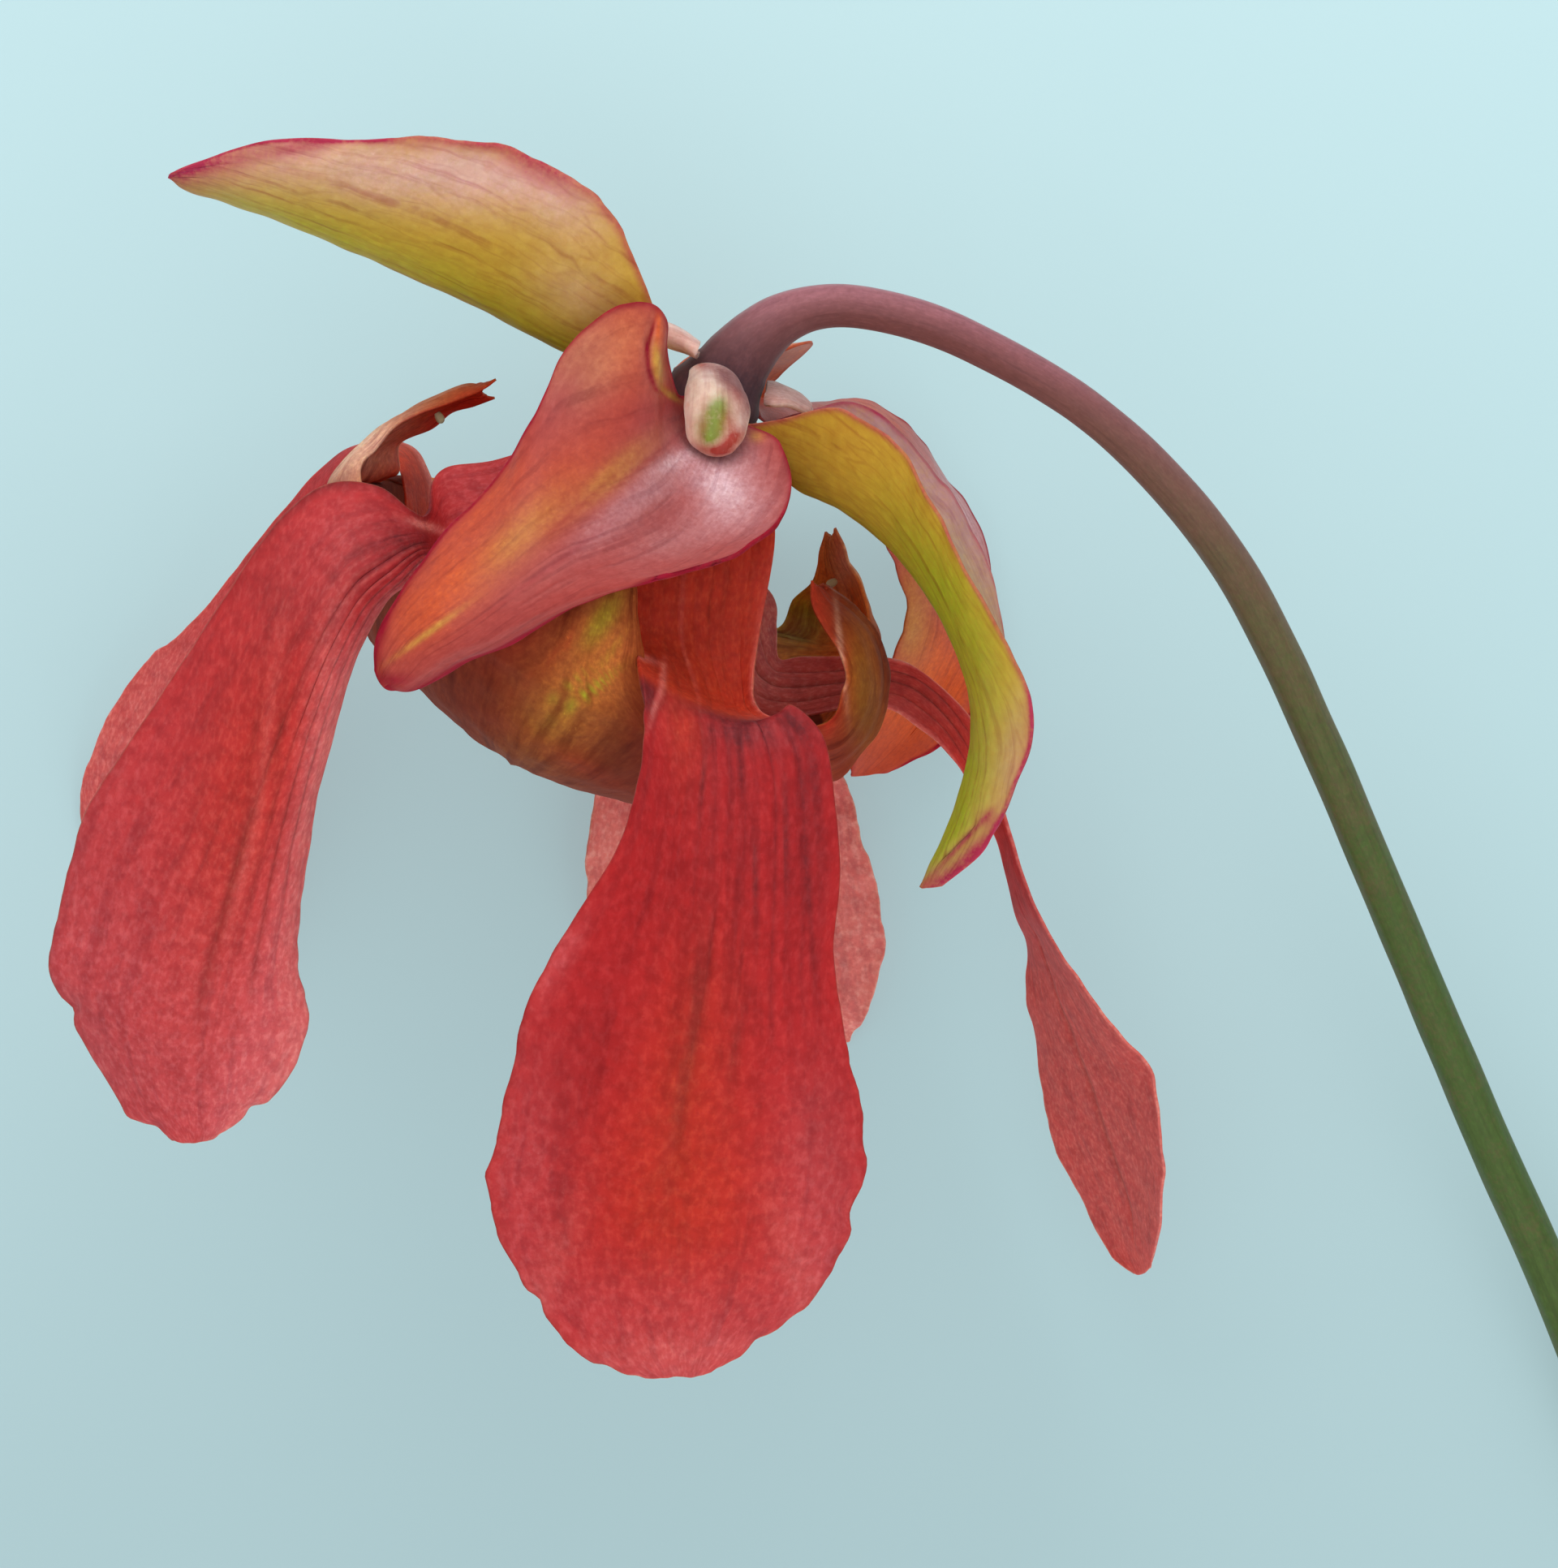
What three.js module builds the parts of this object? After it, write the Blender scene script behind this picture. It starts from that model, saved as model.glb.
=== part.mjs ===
// Pitcher plant flower, picked with its arched scape and lying on its back sepal.
// Units are millimetres, +Z is up, the table is z = 0 and the flower's face is seen from above.
// Blades are laid out as rows of three points (left edge, midrib, right edge) on a drawing
// whose square is 0.07 mm; the third number of a point is its height over the table in mm.
import * as THREE from 'three';

// Driving dimensions
const SQUARE = 0.07;              // size of one drawing square, mm
const ORIGIN = [1099.6, 1083.3];  // drawing point that stands over the origin
const MIDDLE = [960, 966];        // centre of the drawing
const LEVEL = 40;                 // height at which the drawing is true to scale
const EYE = 900;                  // distance the drawing was made from
const HEART = [885, 478, 40];     // centre of the receptacle on the drawing
const LEAN = 29;                  // flower axis, degrees left of straight down
const TILT = 15;                  // flower axis, degrees below the level
const FIFTH = 72;                 // five-fold flower
const PETAL_THICK = 0.8;
const SEPAL_THICK = 0.9;
const BRACT_THICK = 0.8;
const STYLE_THICK = 0.9;
const STAMENS = 30;
const SEPAL_BASE = [4.9, 1.0, 24]; // base row: radius, depth, half its angle in degrees
const PETAL_BASE = [4.3, 3.2, 24];
const SEPAL_GRID = [17, 9];       // rings along a blade, points across it
const PETAL_GRID = [26, 7];
const BRACT_GRID = [8, 7];
const SCAPE_GRID = [34, 12];      // rings along the scape, sides round it
const NOTCH = 0.035;              // how far the bowl draws in between two lobes, part of its radius

const rad = (degrees) => degrees * Math.PI / 180;
const cx = (MIDDLE[0] - ORIGIN[0]) * SQUARE;
const cy = (ORIGIN[1] - MIDDLE[1]) * SQUARE;

// drawing point -> point in space
function at(across, down, height) {
  const s = SQUARE * (EYE - (height - LEVEL)) / EYE;
  return new THREE.Vector3(cx + (across - MIDDLE[0]) * s, cy + (MIDDLE[1] - down) * s, height);
}

// flower frame: AXIS from receptacle to umbrella, RIGHT and FRONT across it
const heart = at(...HEART);
const AXIS = new THREE.Vector3(
  -Math.sin(rad(LEAN)) * Math.cos(rad(TILT)),
  -Math.cos(rad(LEAN)) * Math.cos(rad(TILT)),
  -Math.sin(rad(TILT)));
const RIGHT = new THREE.Vector3(Math.cos(rad(LEAN)), -Math.sin(rad(LEAN)), 0);
const FRONT = new THREE.Vector3().crossVectors(AXIS, RIGHT);
if (FRONT.z < 0) FRONT.negate();

// point at an angle round the axis, a distance from it and a depth along it
function round(angle, radius, depth) {
  return heart.clone()
    .addScaledVector(AXIS, depth)
    .addScaledVector(RIGHT, radius * Math.sin(rad(angle)))
    .addScaledVector(FRONT, radius * Math.cos(rad(angle)));
}

// smooth curve through rows of numbers, t from 0 to 1
function along(rows, t) {
  const n = rows.length;
  const x = Math.min(Math.max(t, 0) * (n - 1), n - 1 - 1e-9);
  const i = Math.floor(x);
  const f = x - i;
  const row = (k) => {
    if (k < 0) return rows[0].map((v, j) => 2 * v - rows[1][j]);
    if (k > n - 1) return rows[n - 1].map((v, j) => 2 * v - rows[n - 2][j]);
    return rows[k];
  };
  const [a, b, c, d] = [row(i - 1), row(i), row(i + 1), row(i + 2)];
  return b.map((v, j) => 0.5 * (2 * v + (c[j] - a[j]) * f
    + (2 * a[j] - 5 * v + 4 * c[j] - d[j]) * f * f
    + (3 * v - 3 * c[j] + d[j] - a[j]) * f * f * f));
}

// row of a blade as nine numbers in space
const spread = (r) => [0, 3, 6].flatMap((k) => at(r[k], r[k + 1], r[k + 2]).toArray());

// point of a three-point row, v from -1 (left edge) over 0 (midrib) to 1 (right edge)
function across(row, v) {
  const [l, m, r] = [v * (v - 1) / 2, 1 - v * v, v * (v + 1) / 2];
  return new THREE.Vector3(
    l * row[0] + m * row[3] + r * row[6],
    l * row[1] + m * row[4] + r * row[7],
    l * row[2] + m * row[5] + r * row[8]);
}

// a mesh from triangles given as point indices, turned outward
function solid(points, faces) {
  let volume = 0;
  for (const [a, b, c] of faces) {
    volume += points[a].dot(new THREE.Vector3().crossVectors(points[b], points[c])) / 6;
  }
  const index = volume < 0 ? faces.flatMap(([a, b, c]) => [a, c, b]) : faces.flat();
  const g = new THREE.BufferGeometry();
  g.setAttribute('position', new THREE.Float32BufferAttribute(points.flatMap((p) => p.toArray()), 3));
  g.setIndex(index);
  return g;
}

// sheet of points and faces made into a thin closed body; thick(i) is the thickness at point i,
// and whatever would sink under the table is pressed flat on it
function thicken(points, faces, thick, inner = null) {
  const n = points.length;
  const normal = points.map(() => new THREE.Vector3());
  const edges = new Map();
  for (const [a, b, c] of faces) {
    const u = points[b].clone().sub(points[a]);
    const w = points[c].clone().sub(points[a]);
    const m = u.cross(w);
    for (const k of [a, b, c]) normal[k].add(m);
    for (const [p, q] of [[a, b], [b, c], [c, a]]) {
      if (edges.has(q + '_' + p)) edges.delete(q + '_' + p);
      else edges.set(p + '_' + q, [p, q]);
    }
  }
  normal.forEach((m) => m.normalize());
  const press = (p) => p.setZ(Math.max(p.z, 0));
  const top = points.map((p, i) => (inner && inner(i))
    || press(p.clone().addScaledVector(normal[i], thick(i) / 2)));
  const low = points.map((p, i) => press(p.clone().addScaledVector(normal[i], -thick(i) / 2)));
  const out = [];
  for (const [a, b, c] of faces) {
    out.push([a, b, c], [n + a, n + c, n + b]);
  }
  for (const [p, q] of edges.values()) {
    out.push([q, p, n + p], [q, n + p, n + q]);
  }
  return solid([...top, ...low], out);
}

// blade: base row set on the receptacle, then rows of the drawing
function blade(rows, base, rings, points, thickness) {
  const all = [base, ...rows.map(spread)];
  const grid = [];
  const faces = [];
  for (let i = 0; i < rings; i++) {
    const row = along(all, i / (rings - 1));
    for (let j = 0; j < points; j++) grid.push(across(row, -1 + 2 * j / (points - 1)));
  }
  for (let i = 0; i < rings - 1; i++) {
    for (let j = 0; j < points - 1; j++) {
      const a = i * points + j;
      faces.push([a, a + points, a + points + 1], [a, a + points + 1, a + 1]);
    }
  }
  return thicken(grid, faces, () => thickness);
}

// base row of a blade at an angle round the axis; turn is +1 or -1 for the side its left edge is on
function rooted(angle, turn, radius, depth, half) {
  return [-half * turn, 0, half * turn]
    .flatMap((d) => round(angle + d, radius, depth).toArray());
}

// Blades, seen from the flower's front
const SEPALS = {
  a: { angle: -72, turn: -1, rows: [
    [812, 400, 48.5, 800, 466, 43, 812, 410, 37],
    [780, 315, 53, 692, 427, 45, 765, 345, 35],
    [739, 244, 55, 602, 380, 46, 725, 285, 36],
    [640, 187, 56, 502, 334, 47, 625, 235, 37],
    [540, 169, 56, 402, 291, 47, 525, 215, 38],
    [440, 173, 55, 302, 252, 48, 430, 205, 40],
    [330, 173, 53, 240, 233, 48, 320, 195, 43],
    [210, 213, 49, 207, 219, 48, 212, 216, 47]] },
  b: { angle: 0, turn: 1, rows: [
    [832, 484, 46.5, 864, 553, 50.3, 950, 536, 48.5],
    [824, 455, 47, 855, 573, 52.8, 966, 558, 50.5],
    [819, 425, 49, 840, 596, 55.2, 975, 588, 52.5],
    [819, 393, 51, 822, 617, 57.6, 973, 614, 54.2],
    [799, 374, 52.5, 800, 636, 60, 962, 640, 56],
    [752, 382, 54.2, 772, 656, 62.8, 936, 664, 58.2],
    [698, 428, 57, 740, 675, 65, 900, 690, 60],
    [660, 512, 60, 688, 712, 68, 815, 715, 63.5],
    [612, 588, 62, 630, 750, 69, 725, 742, 65],
    [550, 652, 64, 575, 787, 69, 648, 782, 66],
    [505, 714, 64.5, 525, 812, 68, 580, 816, 66],
    [468, 782, 65, 490, 834, 67, 522, 846, 65.5],
    [463, 826, 65, 474, 846, 65.5, 490, 849, 65]] },
  c: { angle: 72, turn: 1, rows: [
    [965, 516, 45.5, 975, 592, 42.5, 990, 508, 37],
    [1030, 503, 53, 1038, 624, 46, 1060, 497, 35],
    [1092, 536, 57, 1100, 674, 47, 1128, 556, 34],
    [1142, 607, 59, 1156, 748, 48, 1185, 627, 35],
    [1192, 702, 60, 1193, 832, 48, 1218, 707, 36],
    [1242, 802, 60, 1201, 896, 48, 1241, 801, 38],
    [1275, 885, 58, 1193, 957, 48, 1255, 880, 40],
    [1250, 975, 55, 1175, 1013, 48, 1238, 970, 43],
    [1208, 1043, 52, 1156, 1055, 48, 1200, 1036, 45],
    [1150, 1092, 49, 1135, 1092, 48, 1148, 1086, 47.5]] },
  d: { angle: 144, turn: 1, rows: [
    [975, 545, 33, 995, 515, 29, 992, 497, 24],
    [1040, 600, 25, 1072, 545, 21, 1070, 494, 15],
    [1085, 662, 20, 1140, 615, 15, 1140, 550, 8],
    [1117, 735, 17, 1178, 700, 11, 1200, 642, 5],
    [1105, 795, 16, 1188, 780, 9, 1226, 742, 5],
    [1070, 870, 15, 1160, 850, 8, 1230, 830, 6],
    [1052, 925, 14, 1115, 905, 9, 1190, 890, 8],
    [1048, 957, 12, 1078, 950, 11, 1110, 950, 10]] },
  e: { angle: -144, turn: -1, rows: [
    [852, 440, 32, 905, 440, 29, 1000, 421, 27],
    [820, 500, 21, 885, 480, 17, 946, 480, 17],
    [770, 590, 9, 862, 560, 7, 930, 545, 9],
    [740, 680, 2.6, 845, 660, 1.2, 925, 640, 3.4],
    [725, 750, 0.35, 828, 740, 0.35, 915, 725, 0.8],
    [722, 810, 0.35, 818, 800, 0.35, 900, 785, 0.35],
    [732, 870, 0.35, 808, 865, 0.35, 872, 845, 0.35],
    [775, 925, 0.35, 800, 925, 0.35, 830, 915, 0.35]] },
};
const PETALS = {
  1: { angle: 36, turn: 1, rows: [
    [800, 600, 51, 872, 590, 49, 945, 585, 47],
    [783, 700, 53, 868, 690, 51, 955, 665, 50],
    [788, 785, 54, 862, 785, 52, 937, 775, 51],
    [828, 856, 57, 882, 862, 55, 928, 858, 55],
    [818, 838, 61.5, 886, 882, 61, 956, 886, 60],
    [805, 816, 63.5, 890, 908, 63.5, 978, 871, 61.5],
    [803, 872, 63.5, 895, 965, 65, 1014, 910, 62],
    [787, 960, 63, 893, 1045, 65.5, 1029, 995, 62],
    [760, 1048, 62, 886, 1130, 65, 1034, 1090, 61],
    [705, 1136, 61, 878, 1215, 64, 1027, 1180, 61],
    [650, 1240, 60, 868, 1300, 63, 1042, 1285, 60],
    [615, 1390, 58, 855, 1395, 61.5, 1064, 1385, 58],
    [606, 1490, 57, 845, 1490, 60, 1052, 1500, 56],
    [655, 1600, 56, 838, 1580, 58, 1008, 1592, 55],
    [732, 1678, 55, 836, 1655, 56, 925, 1660, 54],
    [795, 1697, 55, 838, 1697, 55, 875, 1690, 54.5]] },
  2: { angle: -36, turn: 1, rows: [
    [720, 530, 49, 738, 580, 49, 755, 640, 50],
    [613, 566, 50, 635, 630, 51, 662, 695, 53.5],
    [560, 584, 51, 572, 645, 52.5, 592, 705, 55],
    [534, 646, 55, 537, 673, 55.5, 543, 700, 57],
    [505, 632, 59, 512, 672, 61, 520, 700, 61],
    [465, 602, 60, 478, 690, 64, 505, 715, 62],
    [405, 599, 60, 432, 725, 65, 475, 742, 62],
    [345, 641, 59, 386, 800, 65, 448, 788, 62],
    [291, 716, 58, 350, 880, 64.5, 424, 855, 61],
    [236, 800, 57, 318, 965, 64, 403, 930, 60],
    [171, 900, 56, 288, 1050, 63, 385, 1010, 59],
    [107, 1000, 55, 262, 1130, 62, 370, 1110, 58],
    [72, 1120, 54, 240, 1200, 61, 367, 1188, 57],
    [66, 1200, 54, 225, 1265, 60, 380, 1252, 56],
    [106, 1288, 54, 222, 1325, 58, 346, 1338, 55],
    [158, 1370, 54, 228, 1372, 56, 298, 1380, 55],
    [212, 1403, 55, 238, 1409, 55, 262, 1402, 55]] },
  3: { angle: -108, turn: 1, rows: [
    [742, 478, 32, 732, 498, 35, 730, 520, 38],
    [694, 575, 27, 682, 600, 30, 674, 622, 34],
    [612, 620, 27, 602, 640, 30.5, 592, 660, 34],
    [565, 648, 29, 554, 662, 32, 545, 676, 35],
    [536, 640, 29.5, 520, 648, 32.5, 504, 654, 35.5],
    [530, 594, 28, 514, 596, 30.5, 499, 600, 33],
    [504, 550, 25, 495, 557, 27.5, 485, 568, 29.5],
    [450, 546, 20, 452, 560, 23, 458, 581, 26.5],
    [398, 576, 15, 405, 610, 18.5, 420, 660, 24],
    [308, 680, 10.5, 322, 745, 14, 352, 815, 20],
    [240, 765, 8, 258, 850, 10.5, 322, 925, 17],
    [168, 828, 5.5, 210, 950, 6.5, 302, 1020, 13],
    [112, 930, 3, 178, 1040, 3.2, 286, 1105, 9],
    [100, 1000, 1.6, 168, 1105, 0.9, 271, 1175, 5],
    [120, 1085, 0.5, 172, 1150, 0.35, 245, 1205, 2],
    [155, 1165, 0.35, 182, 1190, 0.35, 210, 1205, 0.35]] },
  4: { angle: 180, turn: 1, rows: [
    [930, 560, 27, 885, 565, 25, 835, 560, 27],
    [860, 605, 17, 820, 600, 16, 790, 605, 17],
    [830, 630, 11.5, 800, 630, 10.5, 770, 635, 11.5],
    [840, 680, 7.5, 802, 682, 6, 762, 690, 7.5],
    [905, 740, 6, 822, 745, 4, 747, 755, 6],
    [965, 820, 5.5, 842, 830, 3, 743, 850, 5],
    [1024, 920, 5, 862, 925, 2.2, 738, 955, 4.5],
    [1058, 1018, 4.2, 880, 1030, 1.1, 722, 1055, 3.8],
    [1084, 1110, 3.5, 895, 1130, 0.35, 735, 1150, 3],
    [1088, 1175, 2.8, 908, 1200, 0.35, 775, 1225, 1.6],
    [1072, 1240, 1.8, 925, 1255, 0.35, 850, 1270, 0.6],
    [1046, 1283, 0.6, 1000, 1292, 0.35, 950, 1295, 0.35]] },
  5: { angle: 108, turn: 1, rows: [
    [920, 582, 35.5, 945, 568, 34, 960, 550, 32],
    [862, 680, 32, 895, 680, 29.5, 932, 662, 27.5],
    [852, 745, 32.5, 905, 740, 29.5, 962, 725, 27],
    [870, 815, 34, 918, 795, 31, 968, 775, 28],
    [905, 865, 34.5, 938, 838, 31.5, 960, 812, 28.5],
    [955, 885, 33, 978, 850, 31, 995, 810, 29],
    [1078, 870, 31, 1088, 840, 28.3, 1096, 811, 28.3],
    [1138, 900, 30, 1148, 868, 28, 1152, 840, 27],
    [1184, 948, 28, 1196, 930, 28, 1210, 905, 27],
    [1208, 995, 26, 1217, 985, 27, 1232, 975, 27],
    [1230, 1040, 24, 1240, 1035, 26, 1248, 1040, 28],
    [1250, 1120, 21, 1259, 1110, 25, 1275, 1115, 30],
    [1266, 1170, 18, 1285, 1165, 24, 1308, 1178, 32],
    [1270, 1250, 15, 1312, 1245, 23, 1362, 1252, 33],
    [1285, 1340, 13, 1342, 1325, 22, 1412, 1312, 33],
    [1302, 1412, 12, 1367, 1402, 20, 1431, 1395, 31],
    [1335, 1485, 12, 1390, 1470, 19, 1434, 1465, 28],
    [1370, 1545, 13, 1402, 1532, 17, 1425, 1522, 23],
    [1398, 1570, 15, 1408, 1570, 16, 1416, 1560, 18]] },
};
const BRACTS = {
  front: [
    [851, 458, 44.4, 880, 452, 45.3, 916, 470, 44.6],
    [846, 482, 48.6, 885, 478, 50.5, 927, 492, 48],
    [844, 512, 51.3, 887, 512, 52.6, 928, 516, 50],
    [849, 542, 52.6, 889, 542, 53.6, 919, 541, 52],
    [868, 559, 52.5, 885, 562, 53.2, 902, 558, 52.5]],
  left: [
    [862, 421, 42, 860, 431, 44, 860, 441, 43.5],
    [842, 408, 42, 842, 420, 44, 842, 433, 42.5],
    [818, 397, 43, 818, 411, 44.5, 820, 426, 43],
    [797, 399, 44, 792, 408, 44.5, 798, 417, 44]],
  right: [
    [945, 470, 38, 944, 487, 40, 943, 500, 41],
    [960, 472, 37.5, 958, 489, 40.3, 954, 502, 41.8],
    [985, 484, 37, 980, 494, 39.3, 974, 502, 41],
    [999, 500, 37.5, 1002, 506, 38.5, 998, 510, 39.5]],
};

// Scape: arched flower stalk with the receptacle at its end
// rows: across, down, height, radius; the cut end rests on the table
const SCAPE = [
  [866, 512, 39.3, 2.6], [873, 500, 39.5, 3.9], [881, 486, 39.9, 4.2], [890, 471, 40, 3.7],
  [900, 456, 40, 3.3], [911, 440, 40, 3.0], [934, 415, 40, 2.6], [962, 394, 40, 2.25],
  [1000, 380, 40, 1.95], [1045, 377, 39.8, 1.85], [1105, 387, 39.4, 1.82], [1160, 404, 39, 1.78],
  [1216, 430, 38.4, 1.72], [1293, 473, 37.4, 1.7], [1351, 513, 36.4, 1.72], [1413, 568, 35, 1.8],
  [1477, 640, 33, 1.87], [1529, 715, 30.7, 1.88], [1580, 812, 28, 1.88], [1640, 945, 24.5, 1.87],
  [1708, 1105, 20.3, 1.88], [1771, 1255, 16.2, 1.93], [1837, 1410, 12, 2.0], [1900, 1550, 8.4, 2.05],
  [1960, 1695, 5.4, 2.12], [2012, 1825, 3.2, 2.2], [2056, 1935, 2.3, 2.35]];

// closed tube along a path of [x, y, z, radius] rows, resting parts pressed flat on the table
function tube(path, sides) {
  const points = [];
  const faces = [];
  const n = path.length;
  const centre = path.map((p) => new THREE.Vector3(p[0], p[1], p[2]));
  let side = null;
  centre.forEach((c, i) => {
    const t = centre[Math.min(i + 1, n - 1)].clone().sub(centre[Math.max(i - 1, 0)]).normalize();
    if (!side) side = Math.abs(t.z) < 0.9 ? new THREE.Vector3(0, 0, 1) : new THREE.Vector3(1, 0, 0);
    side = side.clone().addScaledVector(t, -side.dot(t)).normalize();
    const other = new THREE.Vector3().crossVectors(t, side);
    for (let j = 0; j < sides; j++) {
      const a = 2 * Math.PI * j / sides;
      const p = c.clone().addScaledVector(side, path[i][3] * Math.cos(a))
        .addScaledVector(other, path[i][3] * Math.sin(a));
      p.z = Math.max(p.z, 0);
      points.push(p);
    }
  });
  for (let i = 0; i < n - 1; i++) {
    for (let j = 0; j < sides; j++) {
      const [a, b] = [i * sides + j, i * sides + (j + 1) % sides];
      faces.push([a, b, b + sides], [a, b + sides, a + sides]);
    }
  }
  points.push(centre[0], centre[n - 1]);
  for (let j = 0; j < sides; j++) {
    const k = (j + 1) % sides;
    faces.push([n * sides, k, j], [n * sides + 1, (n - 1) * sides + j, (n - 1) * sides + k]);
  }
  return solid(points, faces);
}

// Style: slender column opening into the five-lobed umbrella, one body
const LOBES = [
  { angle: -144, rows: [
    [742, 632, 13, 622, 612, 13.5, 535, 612, 18.5],
    [722, 622, 15, 645, 610, 16, 580, 612, 18.5],
    [700, 617, 18, 658, 612, 19, 612, 614, 19.5],
    [675, 613, 20.5, 660, 618, 21, 645, 616, 21]] },
  { angle: -72, rows: [
    [482, 562, 32, 412, 599, 44, 446, 596, 49.5],
    [492, 546, 34, 447, 555, 43.5, 463, 555, 47.5],
    [532, 528, 35.5, 485, 525, 43, 496, 520, 46.5],
    [557, 507, 37, 533, 498, 42, 541, 500, 45],
    [585, 500, 38, 572, 482, 41.5, 578, 488, 44],
    [610, 491, 38.5, 594, 484, 40.5, 611, 467, 42.5]] },
  { angle: 0, rows: [
    [592, 702, 57.2, 700, 795, 60, 806, 852, 57.8],
    [600, 655, 58, 720, 748, 61.2, 790, 790, 59.5],
    [640, 635, 58.5, 738, 705, 60.3, 783, 725, 59],
    [690, 630, 57, 755, 665, 58.3, 785, 675, 57],
    [740, 632, 55, 778, 640, 55.8, 800, 645, 55],
    [788, 622, 53.6, 800, 632, 53.6, 815, 622, 53.6]] },
  { angle: 72, rows: [
    [1010, 892, 50, 1078, 905, 42, 1082, 868, 35.5],
    [1041, 845, 49, 1096, 845, 42, 1084, 812, 38],
    [1034, 805, 48, 1084, 790, 42, 1064, 775, 37],
    [1012, 770, 47, 1052, 757, 42, 1042, 750, 38],
    [1000, 742, 46, 1024, 735, 43, 1022, 730, 40],
    [1001, 715, 45, 1007, 724, 43.5, 1012, 719, 42]] },
  { angle: 144, rows: [
    [1076, 800, 25.5, 1050, 800, 18, 940, 775, 14],
    [1072, 765, 26.5, 1050, 745, 19, 978, 738, 16],
    [1062, 722, 27, 1040, 710, 20, 1002, 715, 18],
    [1045, 688, 26, 1030, 688, 21, 1010, 680, 19],
    [1030, 650, 25, 1025, 660, 22, 1017, 655, 20]] },
];
// bowl rings: radius, depth from the receptacle; the first ones carry the column inside
const BOWL = [
  [0, 35.1], [1, 35.1], [1.6, 35.1], [2.2, 35.1], [3.6, 35.1], [6, 35.0],
  [10, 34.4], [14, 33.0], [17.5, 31.2], [20.3, 28.9], [22.6, 26.1], [24.3, 23.8]];
const COLUMN = [[0, 14.3], [1, 14.6], [1.15, 23], [1.3, 32.2], [2.4, 33.8]];
const LOBE_COLUMNS = 8;           // grid columns in each lobe
const LOBE_RINGS = 8;             // grid rings beyond the bowl

function umbrella() {
  const points = [round(0, ...BOWL[0])];
  const inside = new Map([[0, round(0, ...COLUMN[0])]]);
  const faces = [];
  const around = LOBES.length * LOBE_COLUMNS;
  const bowl = (ring, column) => 1 + (ring - 1) * around + (column + around) % around;
  const flat = (ring, v) => {
    const [radius, depth] = BOWL[ring];
    return [radius * (1 - NOTCH * v * v * Math.min(1, 2 * ring / BOWL.length)), depth];
  };
  for (let ring = 1; ring < BOWL.length; ring++) {
    for (let c = 0; c < around; c++) {
      const v = -1 + 2 * (c % LOBE_COLUMNS) / LOBE_COLUMNS;
      const angle = LOBES[Math.floor(c / LOBE_COLUMNS)].angle + FIFTH / 2 * v;
      if (ring < COLUMN.length) inside.set(points.length, round(angle, ...COLUMN[ring]));
      points.push(round(angle, ...flat(ring, v)));
    }
  }
  for (let c = 0; c < around; c++) {
    faces.push([0, bowl(1, c), bowl(1, c + 1)]);
    for (let ring = 1; ring < BOWL.length - 1; ring++) {
      const [a, b] = [bowl(ring, c), bowl(ring, c + 1)];
      const [d, e] = [bowl(ring + 1, c), bowl(ring + 1, c + 1)];
      faces.push([a, d, e], [a, e, b]);
    }
  }
  const last = BOWL.length - 1;
  LOBES.forEach((lobe, k) => {
    const stations = lobe.rows.map(spread);
    const n = stations.length;
    const rim = [];
    for (let j = 0; j <= LOBE_COLUMNS; j++) rim.push(bowl(last, k * LOBE_COLUMNS + j));
    let before = rim;
    for (let i = 1; i <= LOBE_RINGS; i++) {
      const ring = [];
      for (let j = 0; j <= LOBE_COLUMNS; j++) {
        const v = -1 + 2 * j / LOBE_COLUMNS;
        const column = [
          points[bowl(last - 1, k * LOBE_COLUMNS + j)].toArray(),
          points[rim[j]].toArray(),
          ...stations.map((s) => across(s, v).toArray())];
        ring.push(points.length);
        points.push(new THREE.Vector3(...along(column, (1 + n * i / LOBE_RINGS) / (n + 1))));
      }
      for (let j = 0; j < LOBE_COLUMNS; j++) {
        faces.push([before[j], ring[j], ring[j + 1]], [before[j], ring[j + 1], before[j + 1]]);
      }
      before = ring;
    }
  });
  return thicken(points, faces, () => STYLE_THICK, (i) => inside.get(i));
}

// Small parts under the umbrella

// five-lobed ovary hanging from the receptacle
function ovary() {
  const [top, bottom, radius, lobing] = [3.7, 13.8, 4.1, 0.07];
  const [rings, sides] = [11, 20];
  const points = [round(0, 0, top)];
  const faces = [];
  for (let i = 1; i < rings; i++) {
    const s = i / rings;
    for (let j = 0; j < sides; j++) {
      const angle = 360 * j / sides;
      const r = radius * Math.pow(Math.sin(Math.PI * s), 0.8) * (1 + lobing * Math.cos(rad(5 * angle)));
      points.push(round(angle, r, top + (bottom - top) * s));
    }
  }
  points.push(round(0, 0, bottom));
  const end = points.length - 1;
  const id = (i, j) => 1 + (i - 1) * sides + j % sides;
  for (let j = 0; j < sides; j++) {
    faces.push([0, id(1, j), id(1, j + 1)], [end, id(rings - 1, j + 1), id(rings - 1, j)]);
    for (let i = 1; i < rings - 1; i++) {
      faces.push([id(i, j), id(i + 1, j), id(i + 1, j + 1)], [id(i, j), id(i + 1, j + 1), id(i, j + 1)]);
    }
  }
  return solid(points, faces);
}

// stamen: thread from under the receptacle, then the anther sac; rows radius, depth, thickness
function stamen(k) {
  const angle = 360 * k / STAMENS;
  const long = 1.1 * (k % 3);
  const rows = [
    [3.3, 3.5, 0.22], [4.3, 4.6, 0.22], [5.0, 6.2, 0.2], [5.3, 7.4 + long, 0.2],
    [5.45, 8.0 + long, 0.42], [5.5, 9.0 + long, 0.46], [5.45, 9.9 + long, 0.28]];
  return tube(rows.map(([r, d, w]) => [...round(angle, r, d).toArray(), w]), 6);
}

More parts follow.
